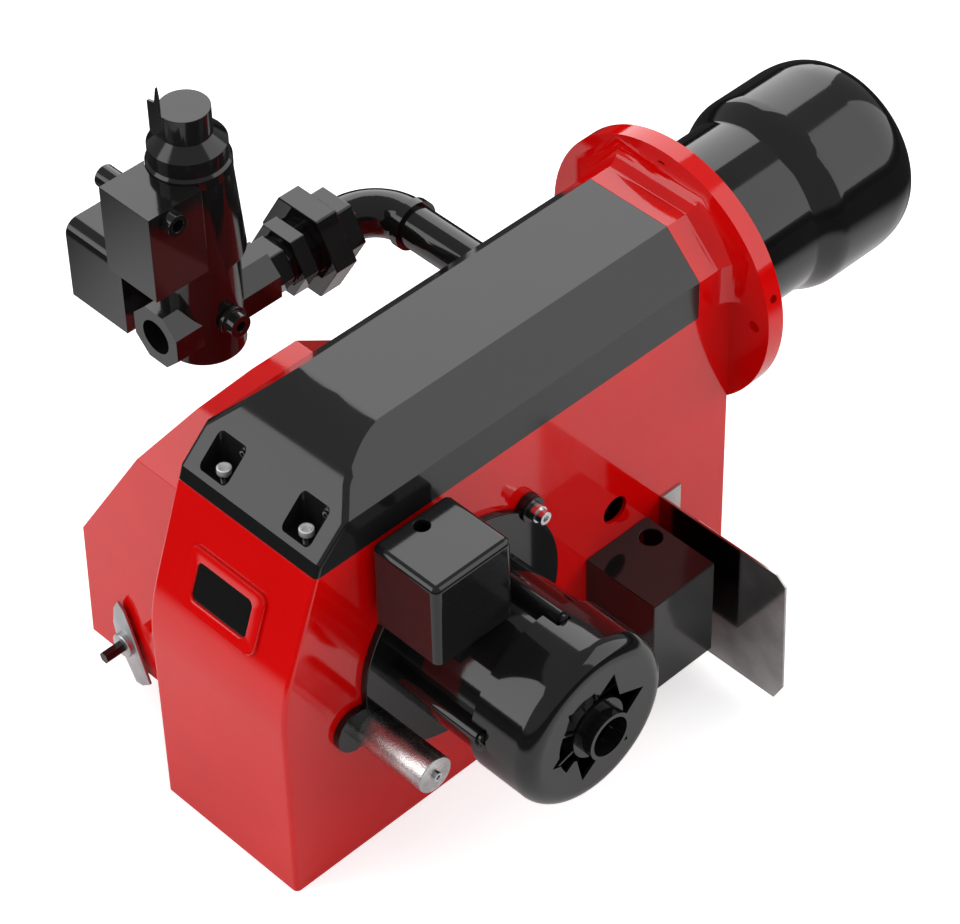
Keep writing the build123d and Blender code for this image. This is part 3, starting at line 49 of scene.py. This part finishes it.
# Shader sums as plain expressions
class Value:
    def __init__(self, tree, socket):
        self.tree = tree
        self.socket = socket

    def sum(self, operation, *others):
        inputs = {0: self}
        for place, other in enumerate(others, 1):
            inputs[place] = other
        return self.tree.put("ShaderNodeMath", {"operation": operation}, inputs)

    def __add__(self, other):
        return self.sum("ADD", other)

    def __sub__(self, other):
        return self.sum("SUBTRACT", other)

    def __mul__(self, other):
        return self.sum("MULTIPLY", other)

    def __rsub__(self, other):
        return self.tree.put("ShaderNodeMath", {"operation": "SUBTRACT"}, {0: other, 1: self})

    __radd__ = __add__
    __rmul__ = __mul__

    def clamped(self, low, high):
        settings = {"clamp": True, "interpolation_type": "SMOOTHSTEP"}
        inputs = {"Value": self, "From Min": low, "From Max": high, "To Min": 0.0, "To Max": 1.0}
        return self.tree.put("ShaderNodeMapRange", settings, inputs)

    def mix(self, first, second):
        return self.tree.put("ShaderNodeMix", {"data_type": "RGBA"}, {0: self, 6: first, 7: second}, 2)


class Tree:
    def __init__(self, owner):
        owner.use_nodes = True
        self.nodes = owner.node_tree.nodes
        self.links = owner.node_tree.links
        self.nodes.clear()

    def put(self, kind, settings=None, inputs=None, output=0):
        node = self.nodes.new(kind)
        for name, setting in (settings or {}).items():
            setattr(node, name, setting)
        for name, given in (inputs or {}).items():
            if isinstance(given, Value):
                self.links.new(given.socket, node.inputs[name])
            else:
                node.inputs[name].default_value = given
        return Value(self, node.outputs[output]) if node.outputs else node

    def noise(self, scale, detail, roughness=0.5, stretch=(1.0, 1.0, 1.0)):
        point = self.put("ShaderNodeTexCoord", output=3)
        place = self.put("ShaderNodeMapping", {}, {"Vector": point, "Scale": stretch})
        inputs = {"Vector": place, "Scale": scale, "Detail": detail, "Roughness": roughness}
        return self.put("ShaderNodeTexNoise", {}, inputs)

    def bump(self, height, distance):
        return self.put("ShaderNodeBump", {}, {"Height": height, "Distance": distance, "Strength": 1.0})

    def rays(self):  # camera, glossy and transmission rays
        return [self.put("ShaderNodeLightPath", output=output) for output in (0, 3, 6)]

    def finish(self, inputs):
        surface = self.put("ShaderNodeBsdfPrincipled", {}, inputs)
        self.put("ShaderNodeOutputMaterial", {}, {"Surface": surface})


def rgb(red, green, blue):
    return (red, green, blue, 1.0)


def newMaterial(name):
    material = bpy.data.materials.new(name)
    return material, Tree(material)


# Paint: even colour with faint clouding and orange peel, peel heights in metres
paints = {
    "glossyRed": {
        "color": (0.66, 0.0015, 0.0015), "shade": (0.60, 0.0012, 0.0012),
        "gloss": 0.07, "peel": 2e-5,
    },
    "glossyBlack": {
        "color": (0.0085, 0.0085, 0.009), "shade": (0.006, 0.006, 0.006),
        "gloss": 0.07, "peel": 1e-5,
    },
    "blackPlastic": {
        "color": (0.010, 0.010, 0.0105), "shade": (0.007, 0.007, 0.007),
        "gloss": 0.1, "peel": 1e-5,
    },
    "coverBlack": {
        "color": (0.0095, 0.0095, 0.010), "shade": (0.008, 0.008, 0.008),
        "gloss": 0.12, "peel": 1e-5,
    },
    "valveBlack": {
        "color": (0.0085, 0.0085, 0.009), "shade": (0.006, 0.006, 0.006),
        "gloss": 0.1, "peel": 1e-5,
    },
    "matteBlack": {"color": (0.02, 0.02, 0.02), "shade": (0.012, 0.012, 0.012), "gloss": 0.45, "peel": 3e-5},
}
paintPattern = {
    "cloudScale": 9.0, "cloudDetail": 4.0, "cloudFrom": 0.3, "cloudTo": 0.7,
    "peelScale": 420.0, "peelDetail": 2.0, "swing": 0.02, "ior": 1.5,
}


def makePaint(name, paint):
    material, tree = newMaterial(name)
    cloud = tree.noise(paintPattern["cloudScale"], paintPattern["cloudDetail"])
    cloud = cloud.clamped(paintPattern["cloudFrom"], paintPattern["cloudTo"])
    peel = tree.noise(paintPattern["peelScale"], paintPattern["peelDetail"])
    swing = paintPattern["swing"]
    tree.finish({
        "Base Color": cloud.mix(rgb(*paint["shade"]), rgb(*paint["color"])),
        "Roughness": cloud * swing + (paint["gloss"] - swing / 2),
        "IOR": paintPattern["ior"],
        "Normal": tree.bump(peel, paint["peel"]),
    })
    return material


# Bare metals: rolled or brushed grain per metre and handling marks
metals = {
    "brightSteel": {
        "color": (0.78, 0.78, 0.79), "shade": (0.62, 0.62, 0.63),
        "gloss": 0.16, "grain": (60, 60, 60), "depth": 2e-5,
    },
    "screwSteel": {
        "color": (0.96, 0.96, 0.96), "shade": (0.88, 0.88, 0.88),
        "gloss": 0.2, "grain": (60, 60, 60), "depth": 3e-5,
        "metallic": 0.6,
    },
    "zincSteel": {
        "color": (0.60, 0.61, 0.62), "shade": (0.45, 0.46, 0.47),
        "gloss": 0.3, "grain": (40, 40, 40), "depth": 3e-5,
    },
    "bracketSteel": {
        "color": (0.52, 0.51, 0.50), "shade": (0.40, 0.39, 0.385),
        "gloss": 0.12, "grain": (8, 8, 200), "depth": 1e-5,
    },
    "rolledZinc": {
        "color": (0.66, 0.68, 0.70), "shade": (0.50, 0.52, 0.54),
        "gloss": 0.42, "grain": (90, 90, 90), "depth": 2e-4,
    },
    "canAluminium": {
        "color": (0.82, 0.81, 0.81), "shade": (0.42, 0.40, 0.40), "gloss": 0.28, "grain": (700, 700, 700),
        "depth": 3e-4,
    },
    "castIron": {
        "color": (0.11, 0.11, 0.11), "shade": (0.07, 0.07, 0.07), "gloss": 0.55, "grain": (200, 200, 200),
        "depth": 1e-4,
    },
}
metalPattern = {
    "cloudScale": 30.0, "cloudDetail": 4.0, "cloudFrom": 0.35, "cloudTo": 0.65,
    "grainScale": 10.0, "grainDetail": 3.0, "grainRoughness": 0.6, "swing": 0.12,
}


def makeMetal(name, metal):
    material, tree = newMaterial(name)
    cloud = tree.noise(metalPattern["cloudScale"], metalPattern["cloudDetail"])
    cloud = cloud.clamped(metalPattern["cloudFrom"], metalPattern["cloudTo"])
    scale = metalPattern["grainScale"]
    stretch = tuple(part / scale for part in metal["grain"])
    grain = tree.noise(scale, metalPattern["grainDetail"], metalPattern["grainRoughness"], stretch)
    swing = metalPattern["swing"]
    tree.finish({
        "Base Color": cloud.mix(rgb(*metal["shade"]), rgb(*metal["color"])),
        "Metallic": metal.get("metallic", 1.0),
        "Roughness": grain * swing + (metal["gloss"] - swing / 2),
        "Normal": tree.bump(grain, metal["depth"]),
    })
    return material


finishes = {name: makePaint(name, paint) for name, paint in paints.items()}
finishes.update({name: makeMetal(name, metal) for name, metal in metals.items()})
print("finishes made")

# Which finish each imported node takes
dressing = {
    "glossyRed": ["burner_housing", "window_frame", "mounting_flange", "air_intake_box"],
    "coverBlack": ["top_cover"],
    "glossyBlack": [
        "blast_tube", "motor_flange", "motor_stator", "rear_shield", "motor_end_cap", "gas_pipe", "pipe_elbow",
        "union_end", "union_nut", "union_tail", "valve_adapter", "window_pane", "mount_washer",
    ],
    "valveBlack": ["valve_body", "coil_housing", "coil_cap"],
    "blackPlastic": [
        "terminal_box", "side_connection_box", "flow_adjuster_cap", "connector_block", "cable_glands",
        "gas_pressure_switch", "test_nipple", "damper_shaft", "motor_tie_bolts",
    ],
    "matteBlack": [
        "control_unit", "ignition_transformer", "air_pressure_switch", "cooling_fan", "electrode_insulators",
        "motor_shaft", "motor_bearings",
    ],
    "brightSteel": [
        "flange_set_screw", "cover_screws", "mount_spacer", "mount_screw",
        "capacitor_stud", "gas_nozzle", "flame_disc", "electrode_wires", "valve_plunger",
    ],
    "zincSteel": [
        "damper_lever", "damper_blade", "component_plate", "fan_volute", "fan_inlet_ring", "fan_impeller",
        "gas_head_tube", "gas_manifold", "head_support", "electrode_clamp",
    ],
    "bracketSteel": ["angle_bracket"],
    "canAluminium": ["run_capacitor"],
    "castIron": ["stator_core", "rotor_core"],
}
for finish, names in dressing.items():
    for name in names:
        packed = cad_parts[name]
        packed.data.materials.clear()
        packed.data.materials.append(finishes[finish])
print("packed nodes dressed")

# Edges are eased by modifiers, widths in millimetres
eased = {
    "mounting_flange": 1.0, "terminal_box": 0.6, "side_connection_box": 0.8, "connector_block": 0.8,
    "gas_pressure_switch": 0.8, "union_nut": 1.6, "union_end": 2.2, "union_tail": 1.2,
    "valve_adapter": 1.2, "valve_body": 1.0, "coil_housing": 0.8, "coil_cap": 0.7,
    "flow_adjuster_cap": 0.5, "cable_glands": 0.7, "test_nipple": 0.8, "motor_end_cap": 0.6,
    "motor_stator": 0.6, "motor_flange": 1.0, "angle_bracket": 0.5, "damper_shaft": 0.5,
    "mount_washer": 0.5, "mount_spacer": 0.5, "mount_screw": 0.4, "motor_tie_bolts": 0.4,
    "capacitor_stud": 0.3, "pipe_elbow": 0.8, "blast_tube": 0.6,
}
easing = {"weld": 0.02, "flat": 0.6, "sharp": 32.0, "segments": 2}  # mm, degrees, degrees


def soften(piece, width):
    weld = piece.modifiers.new("weld", "WELD")
    weld.merge_threshold = easing["weld"] * mm
    flatten = piece.modifiers.new("flatten", "DECIMATE")
    flatten.decimate_type = "DISSOLVE"
    flatten.angle_limit = math.radians(easing["flat"])
    ease = piece.modifiers.new("ease", "BEVEL")
    ease.width = width * mm
    ease.segments = easing["segments"]
    ease.limit_method = "ANGLE"
    ease.angle_limit = math.radians(easing["sharp"])
    ease.harden_normals = True
    even = piece.modifiers.new("even", "WEIGHTED_NORMAL")
    even.keep_sharp = True


for name, width in eased.items():
    soften(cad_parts[name], width)
print("edges eased")


# Points of a circle, or of a polygon for small counts
def ring(radius, count):
    angles = [index * math.tau / count for index in range(count)]
    return [(radius * math.cos(angle), radius * math.sin(angle)) for angle in angles]


# One ring for each radius and height of a turned profile
def turned(profile, count):
    return [[(reach * x, reach * y, z) for x, y in ring(1.0, count)] for reach, z in profile]


def addObject(name, data):
    added = bpy.data.objects.new(name, data)
    scene.collection.objects.link(added)
    return added


# Object from a bmesh in millimetres, set in the shared frame
def makePiece(name, shape, finish, body, place, turn=Matrix.Identity(3), sharpFrom=35.0):
    data = bpy.data.meshes.new(name)
    bmesh.ops.recalc_face_normals(shape, faces=shape.faces[:])
    shape.to_mesh(data)
    shape.free()
    data.transform(Matrix.Scale(mm, 4))
    data.transform(turn.to_4x4())
    data.transform(Matrix.Translation(Vector(place) * mm))
    data.materials.append(finishes[finish])
    data.set_sharp_from_angle(angle=math.radians(sharpFrom))
    for face in data.polygons:
        face.use_smooth = True
    piece = addObject(name, data)
    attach(piece, body)
    return piece


# Skin through loops of equal count, closed at both ends or left open
def loopShape(loops, closed=True):
    shape = bmesh.new()
    rows = [[shape.verts.new(point) for point in loop] for loop in loops]
    for lower, upper in zip(rows, rows[1:]):
        for index in range(len(lower)):
            after = (index + 1) % len(lower)
            shape.faces.new((lower[index], lower[after], upper[after], upper[index]))
    if closed:
        shape.faces.new(rows[0][::-1])
        shape.faces.new(rows[-1])
    return shape


# Cover screws: plain shank with collar, rounded head and hexagon recess
coverScrew = {
    "across": 51.7, "foot": 26.4, "shank": 3.0, "depth": 12.0, "collar": 4.6, "stand": 6.0, "count": 32,
    "head": 6.8, "height": 6.0, "footRound": 0.3, "rimRound": 0.6, "headCount": 48,
    "hexagon": 3.5, "recess": 4.5, "recessRim": 0.3, "rimOuter": 1.45, "rimInner": 1.3, "rimFall": 0.25,
}
# Moulded eye on the rear wall of each pocket
pocketEye = {
    "shift": 10.2, "back": 14.25, "height": 50.5, "count": 32,
    "profile": ((4.2, 0.0), (4.2, 1.1), (3.9, 1.4), (2.4, 1.4), (2.1, 1.1), (2.1, 0.0)),
}


def screwHead(form):
    radius, height, hexagon, rim = form["head"], form["height"], form["hexagon"], form["rimRound"]
    six = []
    for index in range(form["headCount"]):
        angle = index * math.tau / form["headCount"]
        sector = (angle % (math.tau / 6)) - math.tau / 12
        reach = hexagon / math.cos(sector)
        six.append((reach * math.cos(angle), reach * math.sin(angle)))
    profile = [
        (radius - form["footRound"], 0.0), (radius, form["footRound"]), (radius, height - rim),
        (radius - 0.3 * rim, height - 0.3 * rim), (radius - rim, height),
        (hexagon * form["rimOuter"], height), (hexagon * form["rimInner"], height - form["rimFall"]),
    ]
    loops = turned(profile, form["headCount"])
    loops.append([(x, y, height - form["recessRim"]) for x, y in six])
    loops.append([(x, y, height - form["recess"]) for x, y in six])
    return loops


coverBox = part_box("cover_screws")
screwY = (coverBox[0][1] + coverBox[1][1]) / 2 / mm
for side, tag in ((-1, "left"), (1, "right")):
    place = (side * coverScrew["across"], screwY, coverScrew["foot"])
    shank = loopShape(turned((
        (coverScrew["shank"], -coverScrew["depth"]), (coverScrew["shank"], 0.0),
        (coverScrew["collar"], 0.0), (coverScrew["collar"], coverScrew["stand"]),
    ), coverScrew["count"]))
    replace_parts(makePiece("cover_screw_shank_" + tag, shank, "brightSteel", "cover", place), "cover_screws")
    head = loopShape(screwHead(coverScrew))
    headPlace = (place[0], place[1], place[2] + coverScrew["stand"])
    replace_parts(makePiece("cover_screw_head_" + tag, head, "screwSteel", "cover", headPlace), "cover_screws")
    eye = loopShape(turned(pocketEye["profile"], pocketEye["count"]), closed=False)
    eyeX = side * coverScrew["across"] + pocketEye["shift"]
    eyePlace = (eyeX, screwY + pocketEye["back"], pocketEye["height"])
    eyeTurn = Matrix.Rotation(math.radians(90), 3, "X")
    makePiece("cover_pocket_eye_" + tag, eye, "coverBlack", "cover", eyePlace, eyeTurn)
print("cover fittings made")


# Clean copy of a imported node's shape, in millimetres, with its flat faces joined
def reworked(node):
    shape = bmesh.new()
    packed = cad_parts[node]
    shape.from_mesh(packed.data)
    shape.transform(packed.matrix_world)
    shape.transform(Matrix.Scale(1 / mm, 4))
    bmesh.ops.remove_doubles(shape, verts=shape.verts[:], dist=easing["weld"])
    flat = math.radians(easing["flat"])
    bmesh.ops.dissolve_limit(shape, angle_limit=flat, verts=shape.verts[:], edges=shape.edges[:])
    return shape


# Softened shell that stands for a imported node
def standIn(name, shape, finish, body, width, node):
    shell = makePiece(name, shape, finish, body, (0, 0, 0))
    soften(shell, width)
    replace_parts(shell, node)


# Cover: the lip's foot comes forward, and the outer front corners are broadly rounded
coverForm = {
    "lipFoot": 18.4, "footBand": 0.6, "front": -515.88, "frontBand": 3.0, "footForward": 2.8,
    "corner": 4.5, "cornerSteps": 5, "cornerFrom": 66.0, "foldFrom": 20.0, "shortest": 3.0, "ease": 1.3,
}
cover = reworked("top_cover")
for point in cover.verts:
    atFoot = abs(point.co.z - coverForm["lipFoot"]) < coverForm["footBand"]
    if atFoot and point.co.y < coverForm["front"] + coverForm["frontBand"]:
        point.co.y -= coverForm["footForward"]
corners = []
for edge in cover.edges:
    if len(edge.link_faces) != 2 or edge.calc_face_angle(0) < math.radians(coverForm["foldFrom"]):
        continue
    middle = (edge.verts[0].co + edge.verts[1].co) / 2
    normals = [face.normal for face in edge.link_faces]
    toFront = any(normal.y < -0.4 and normal.z > 0.05 for normal in normals)
    toSide = any(normal.x * middle.x > 0.6 * abs(middle.x) and normal.z > -0.05 for normal in normals)
    longEnough = edge.calc_length() > coverForm["shortest"]
    if toFront and toSide and abs(middle.x) > coverForm["cornerFrom"] and longEnough:
        corners.append(edge)
bmesh.ops.bevel(
    cover, geom=corners, offset=coverForm["corner"], offset_type="OFFSET", segments=coverForm["cornerSteps"],
    profile=0.5, affect="EDGES", clamp_overlap=False,
)
standIn("cover_shell", cover, "coverBlack", "cover", coverForm["ease"], "top_cover")
print("cover shell made", len(corners))

# Housing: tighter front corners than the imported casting
housingForm = {
    "front": -565.5, "bend": -142.6, "bendRadius": 196.0, "lean": 20.0, "half": 87.5,
    "packedRound": 14.0, "round": 5.0, "slack": 0.5, "band": 1.2, "ease": 1.2,
}


# Y of the housing's front skin at a height: upright, bent, then leaning
def panelFront(z):
    slope = math.radians(housingForm["lean"])
    reach = housingForm["bendRadius"]
    leanStart = housingForm["bend"] + reach * math.sin(slope)
    if z <= housingForm["bend"]:
        return housingForm["front"]
    if z < leanStart:
        return housingForm["front"] + reach - math.sqrt(reach ** 2 - (z - housingForm["bend"]) ** 2)
    return housingForm["front"] + reach * (1 - math.cos(slope)) + math.tan(slope) * (z - leanStart)


housing = reworked("burner_housing")
old, new, slack = housingForm["packedRound"], housingForm["round"], housingForm["slack"]
for point in housing.verts:
    over = abs(point.co.x) - (housingForm["half"] - old)
    back = old - (point.co.y - panelFront(point.co.z))
    onRound = abs(math.hypot(over, back) - old) < housingForm["band"]
    if over > -slack and back > -slack and onRound:
        part = old / max(math.hypot(over, back), 1.0)
        point.co.x = math.copysign(housingForm["half"] - new + over * part * new / old, point.co.x)
        point.co.y = panelFront(point.co.z) + new - back * part * new / old
standIn("housing_shell", housing, "glossyRed", "burner", housingForm["ease"], "burner_housing")
print("housing shell made")

# Air intake: the folds of its top, as y and z, lie parallel to the cover's faces
intakeForm = {
    "packed": ((-508.0, -17.0), (-438.0, -2.2), (-374.0, 3.0), (-318.5, -3.8), (-215.0, -53.0)),
    "shown": ((-508.0, -15.3), (-461.5, 34.4), (-407.6, 55.0), (-357.0, 55.0), (-215.0, -95.0)),
    "topFrom": -62.0, "edge": -157.4, "edgeHeight": -15.3, "sideSlope": 0.636,
    "wall": 3.0, "outerFrom": -97.5, "ease": 1.0,
}


# Straight-line reading of pairs
def along(pairs, at):
    for first, second in zip(pairs, pairs[1:]):
        if at <= second[0] or second is pairs[-1]:
            share = (at - first[0]) / (second[0] - first[0])
            return first[1] + share * (second[1] - first[1])


foldShift = [(old[0], new[0]) for old, new in zip(intakeForm["packed"], intakeForm["shown"])]
intake = reworked("air_intake_box")
for point in intake.verts:
    if point.co.z < intakeForm["topFrom"]:
        continue
    depth = along(intakeForm["packed"], point.co.y) - point.co.z
    y = along(foldShift, point.co.y)
    point.co.y = y
    point.co.z = along(intakeForm["shown"], y) - depth
    if point.co.x < intakeForm["outerFrom"]:
        point.co.x = intakeForm["edge"] + (point.co.z - intakeForm["edgeHeight"]) * intakeForm["sideSlope"]
        if depth > 1.0:  # inner skin
            point.co.x += intakeForm["wall"]
standIn("intake_shell", intake, "glossyRed", "burner", intakeForm["ease"], "air_intake_box")
print("intake shell made")

# Damper lever: rolled plate with a raised hub round the hexagon shaft
leverForm = {
    "x": -196.5, "y": -512.0, "z": -270.5, "turn": 26.0, "thick": 3.2, "edge": 0.5, "trim": 0.012,
    "hub": 12.5, "hubFoot": 0.4, "hubRise": 9.0, "hubRound": 0.8, "hubHole": 6.4, "hubCount": 40,
    "outline": (
        (47.0, -15.0), (40.0, -5.0), (22.0, 8.0), (0.0, 14.5), (-26.0, 13.5), (-45.0, 12.5),
        (-47.5, 4.0), (-44.0, -10.5), (-22.0, -13.0), (0.0, -15.5), (22.0, -18.0), (38.0, -19.0),
    ),
}
thick, edge, trimmed = leverForm["thick"], leverForm["edge"], leverForm["trim"]
plateLevels = ((trimmed, 0.0), (0.0, edge), (0.0, thick - edge), (trimmed, thick))
plate = loopShape([
    [(x * (1 - trim), y * (1 - 3 * trim), z) for x, y in leverForm["outline"]] for trim, z in plateLevels
])
turn = math.radians(leverForm["turn"])
lengthwise = Vector((-math.sin(turn), 0.0, math.cos(turn)))
away = Vector((0.0, -1.0, 0.0))
leverTurn = Matrix((lengthwise, away.cross(lengthwise), away)).transposed()
leverPlace = (leverForm["x"], leverForm["y"], leverForm["z"])
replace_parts(makePiece("lever_plate", plate, "rolledZinc", "damper", leverPlace, leverTurn), "damper_lever")
radius, rise, rounding = leverForm["hub"], leverForm["hubRise"], leverForm["hubRound"]
hub = loopShape(turned((
    (radius, leverForm["hubFoot"]), (radius, rise - rounding), (radius - rounding, rise), (leverForm["hubHole"], rise),
), leverForm["hubCount"]))
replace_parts(makePiece("lever_hub", hub, "rolledZinc", "damper", leverPlace, leverTurn), "damper_lever")
print("lever made")

# Window frame: rounded rim standing proud of the leaning panel
windowRim = {
    "lean": 20.0, "width": 96.2, "height": 62.8, "paneWidth": 69.5, "paneHeight": 38.3,
    "outerRound": 10.0, "innerRound": 6.0, "cornerSteps": 8, "sink": 1.3,
    "outerLevels": ((0.0, -1.0), (0.0, 2.6), (0.4, 3.4), (1.2, 4.0)),
    "innerLevels": ((1.2, 4.0), (0.4, 3.6), (0.0, 2.9), (0.0, 0.2)),
}


# Corner-rounded rectangle at one level
def roundedLoop(width, height, radius, level):
    steps = windowRim["cornerSteps"]
    points = []
    for quarter, (side, up) in enumerate(((1, 1), (-1, 1), (-1, -1), (1, -1))):
        for step in range(steps + 1):
            angle = math.radians(90 * quarter + 90 * step / steps)
            x = side * (width / 2 - radius) + radius * math.cos(angle)
            y = up * (height / 2 - radius) + radius * math.sin(angle)
            points.append((x, y, level))
    return points


rimLoops = []
for trim, level in windowRim["outerLevels"]:
    width, height = windowRim["width"] - 2 * trim, windowRim["height"] - 2 * trim
    rimLoops.append(roundedLoop(width, height, windowRim["outerRound"] - trim, level))
for trim, level in windowRim["innerLevels"]:
    width, height = windowRim["paneWidth"] + 2 * trim, windowRim["paneHeight"] + 2 * trim
    rimLoops.append(roundedLoop(width, height, windowRim["innerRound"] + trim, level))
rim = loopShape(rimLoops, closed=False)
lean = math.radians(windowRim["lean"])
sine, cosine = math.sin(lean), math.cos(lean)
panel = Matrix(((1, 0, 0), (0, sine, -cosine), (0, cosine, sine))).to_3x3()
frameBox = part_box("window_frame")
middle = (Vector(frameBox[0]) + Vector(frameBox[1])) / 2 / mm
seat = middle - panel @ Vector((0, 0, 1)) * windowRim["sink"]
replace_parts(makePiece("window_rim", rim, "glossyRed", "burner", seat, panel), "window_frame")
print("window rim made")

# Camera at the photograph's place
camera = {
    "place": (1.7006, -1.8455, 2.1461),
    "right": (0.6972, 0.7167, -0.0182),
    "up": (-0.4868, 0.4919, 0.7218),
    "back": (0.5263, -0.4944, 0.6918),
    "lens": 135.75,
    "sensor": 36.0,
    "far": 50.0,
}
cameraData = bpy.data.cameras.new("camera")
cameraData.lens = camera["lens"]
cameraData.sensor_width = camera["sensor"]
cameraData.clip_end = camera["far"]
cameraObject = addObject("camera", cameraData)
turn = Matrix((camera["right"], camera["up"], camera["back"])).transposed()
cameraObject.matrix_world = Matrix.Translation(camera["place"]) @ turn.to_4x4()
scene.camera = cameraObject

# Studio: pale floor, even sky and three upright soft boxes
studio = {
    "centre": (0.0, -0.25, -0.1),
    "ambient": 0.72,
    "ceiling": 0.35,  # sky in reflections
    "horizon": 0.12,
}
softBoxes = {
    "rearLeft": {
        "bearing": -47.0, "halfSpan": 20.0, "low": 4.0,
        "high": 52.0, "distance": 8.0, "radiance": 2.35,
    },
    "rearRight": {
        "bearing": 34.0, "halfSpan": 30.0, "low": 6.0,
        "high": 54.0, "distance": 8.0, "radiance": 1.5,
    },
    "frontLeft": {
        "bearing": -150.0, "halfSpan": 17.0, "low": 4.0,
        "high": 50.0, "distance": 8.0, "radiance": 2.3,
    },
}
centre = Vector(studio["centre"])
for name, box in softBoxes.items():
    bearing = math.radians(box["bearing"])
    bottom = box["distance"] * math.tan(math.radians(box["low"]))
    top = box["distance"] * math.tan(math.radians(box["high"]))
    width = 2 * box["distance"] * math.tan(math.radians(box["halfSpan"]))
    lampData = bpy.data.lights.new(name, "AREA")
    lampData.shape = "RECTANGLE"
    lampData.size = width
    lampData.size_y = top - bottom
    lampData.energy = box["radiance"] * math.pi * width * (top - bottom)
    lamp = addObject(name, lampData)
    outward = Vector((math.sin(bearing), math.cos(bearing), 0.0))
    lamp.location = centre + box["distance"] * outward + Vector((0, 0, (bottom + top) / 2))
    lamp.rotation_euler = (-outward).to_track_quat("-Z", "Y").to_euler()
    lamp.visible_camera = False

world = bpy.data.worlds.new("studio")
scene.world = world
tree = Tree(world)
cameraRay, glossyRay, throughRay = tree.rays()
height = tree.put("ShaderNodeSeparateXYZ", {}, {"Vector": tree.put("ShaderNodeTexCoord", output=0)}, 2)
above = height.clamped(0.0, studio["horizon"])
seen = cameraRay + (glossyRay + throughRay) * (above * studio["ceiling"])
other = (1.0 - cameraRay) * (1.0 - glossyRay) * (1.0 - throughRay)
strength = seen + other * studio["ambient"]
sky = tree.put("ShaderNodeBackground", {}, {"Color": rgb(1, 1, 1), "Strength": strength})
tree.put("ShaderNodeOutputWorld", {}, {"Surface": sky})

# In reflections the floor's colour darkens with distance, and sooner to the rear left: painted shade standing in for
# the lamps' light falling off across the floor
floorForm = {
    "height": -0.3428, "size": 6.0, "color": (0.82, 0.82, 0.82), "farShadeColor": (0.03, 0.03, 0.03), "glow": 0.6,
    "fadeFrom": 0.75, "fadeTo": 1.1, "rearLeft": (-1.0, 0.6, 0.0), "rearFrom": 0.35, "rearTo": 0.6,
}
floorData = bpy.data.meshes.new("floor")
half = floorForm["size"] / 2
floorCorners = [(-half, -half, 0), (half, -half, 0), (half, half, 0), (-half, half, 0)]
floorData.from_pydata(floorCorners, [], [(0, 1, 2, 3)])
floor = addObject("floor", floorData)
floor.location = (centre.x, centre.y, floorForm["height"])
material, tree = newMaterial("paleFloor")
cameraRay, glossyRay, throughRay = tree.rays()
point = tree.put("ShaderNodeTexCoord", output=3)
reach = tree.put("ShaderNodeVectorMath", {"operation": "LENGTH"}, {0: point}, 1)
aim = {0: point, 1: floorForm["rearLeft"]}
rearward = tree.put("ShaderNodeVectorMath", {"operation": "DOT_PRODUCT"}, aim, 1)
# painted shade: bright and far mask the floor's colour, lit near the centre and darker away from it and towards the
# rear left
bright = 1.0 - reach.clamped(floorForm["fadeFrom"], floorForm["fadeTo"])
far = 1.0 - bright * (1.0 - rearward.clamped(floorForm["rearFrom"], floorForm["rearTo"]))
unseen = (glossyRay + throughRay) * far
# painted shade colour of the floor, seen only by glossy and transmission rays
tone = unseen.mix(rgb(*floorForm["color"]), rgb(*floorForm["farShadeColor"]))
shade = tree.put("ShaderNodeBsdfDiffuse", {}, {"Color": tone})
glow = tree.put("ShaderNodeEmission", {}, {"Color": rgb(1, 1, 1), "Strength": cameraRay * floorForm["glow"]})
both = tree.put("ShaderNodeAddShader", {}, {0: shade, 1: glow})
tree.put("ShaderNodeOutputMaterial", {}, {"Surface": both})
floorData.materials.append(material)
scene.view_settings.view_transform = "Standard"
print("studio set")
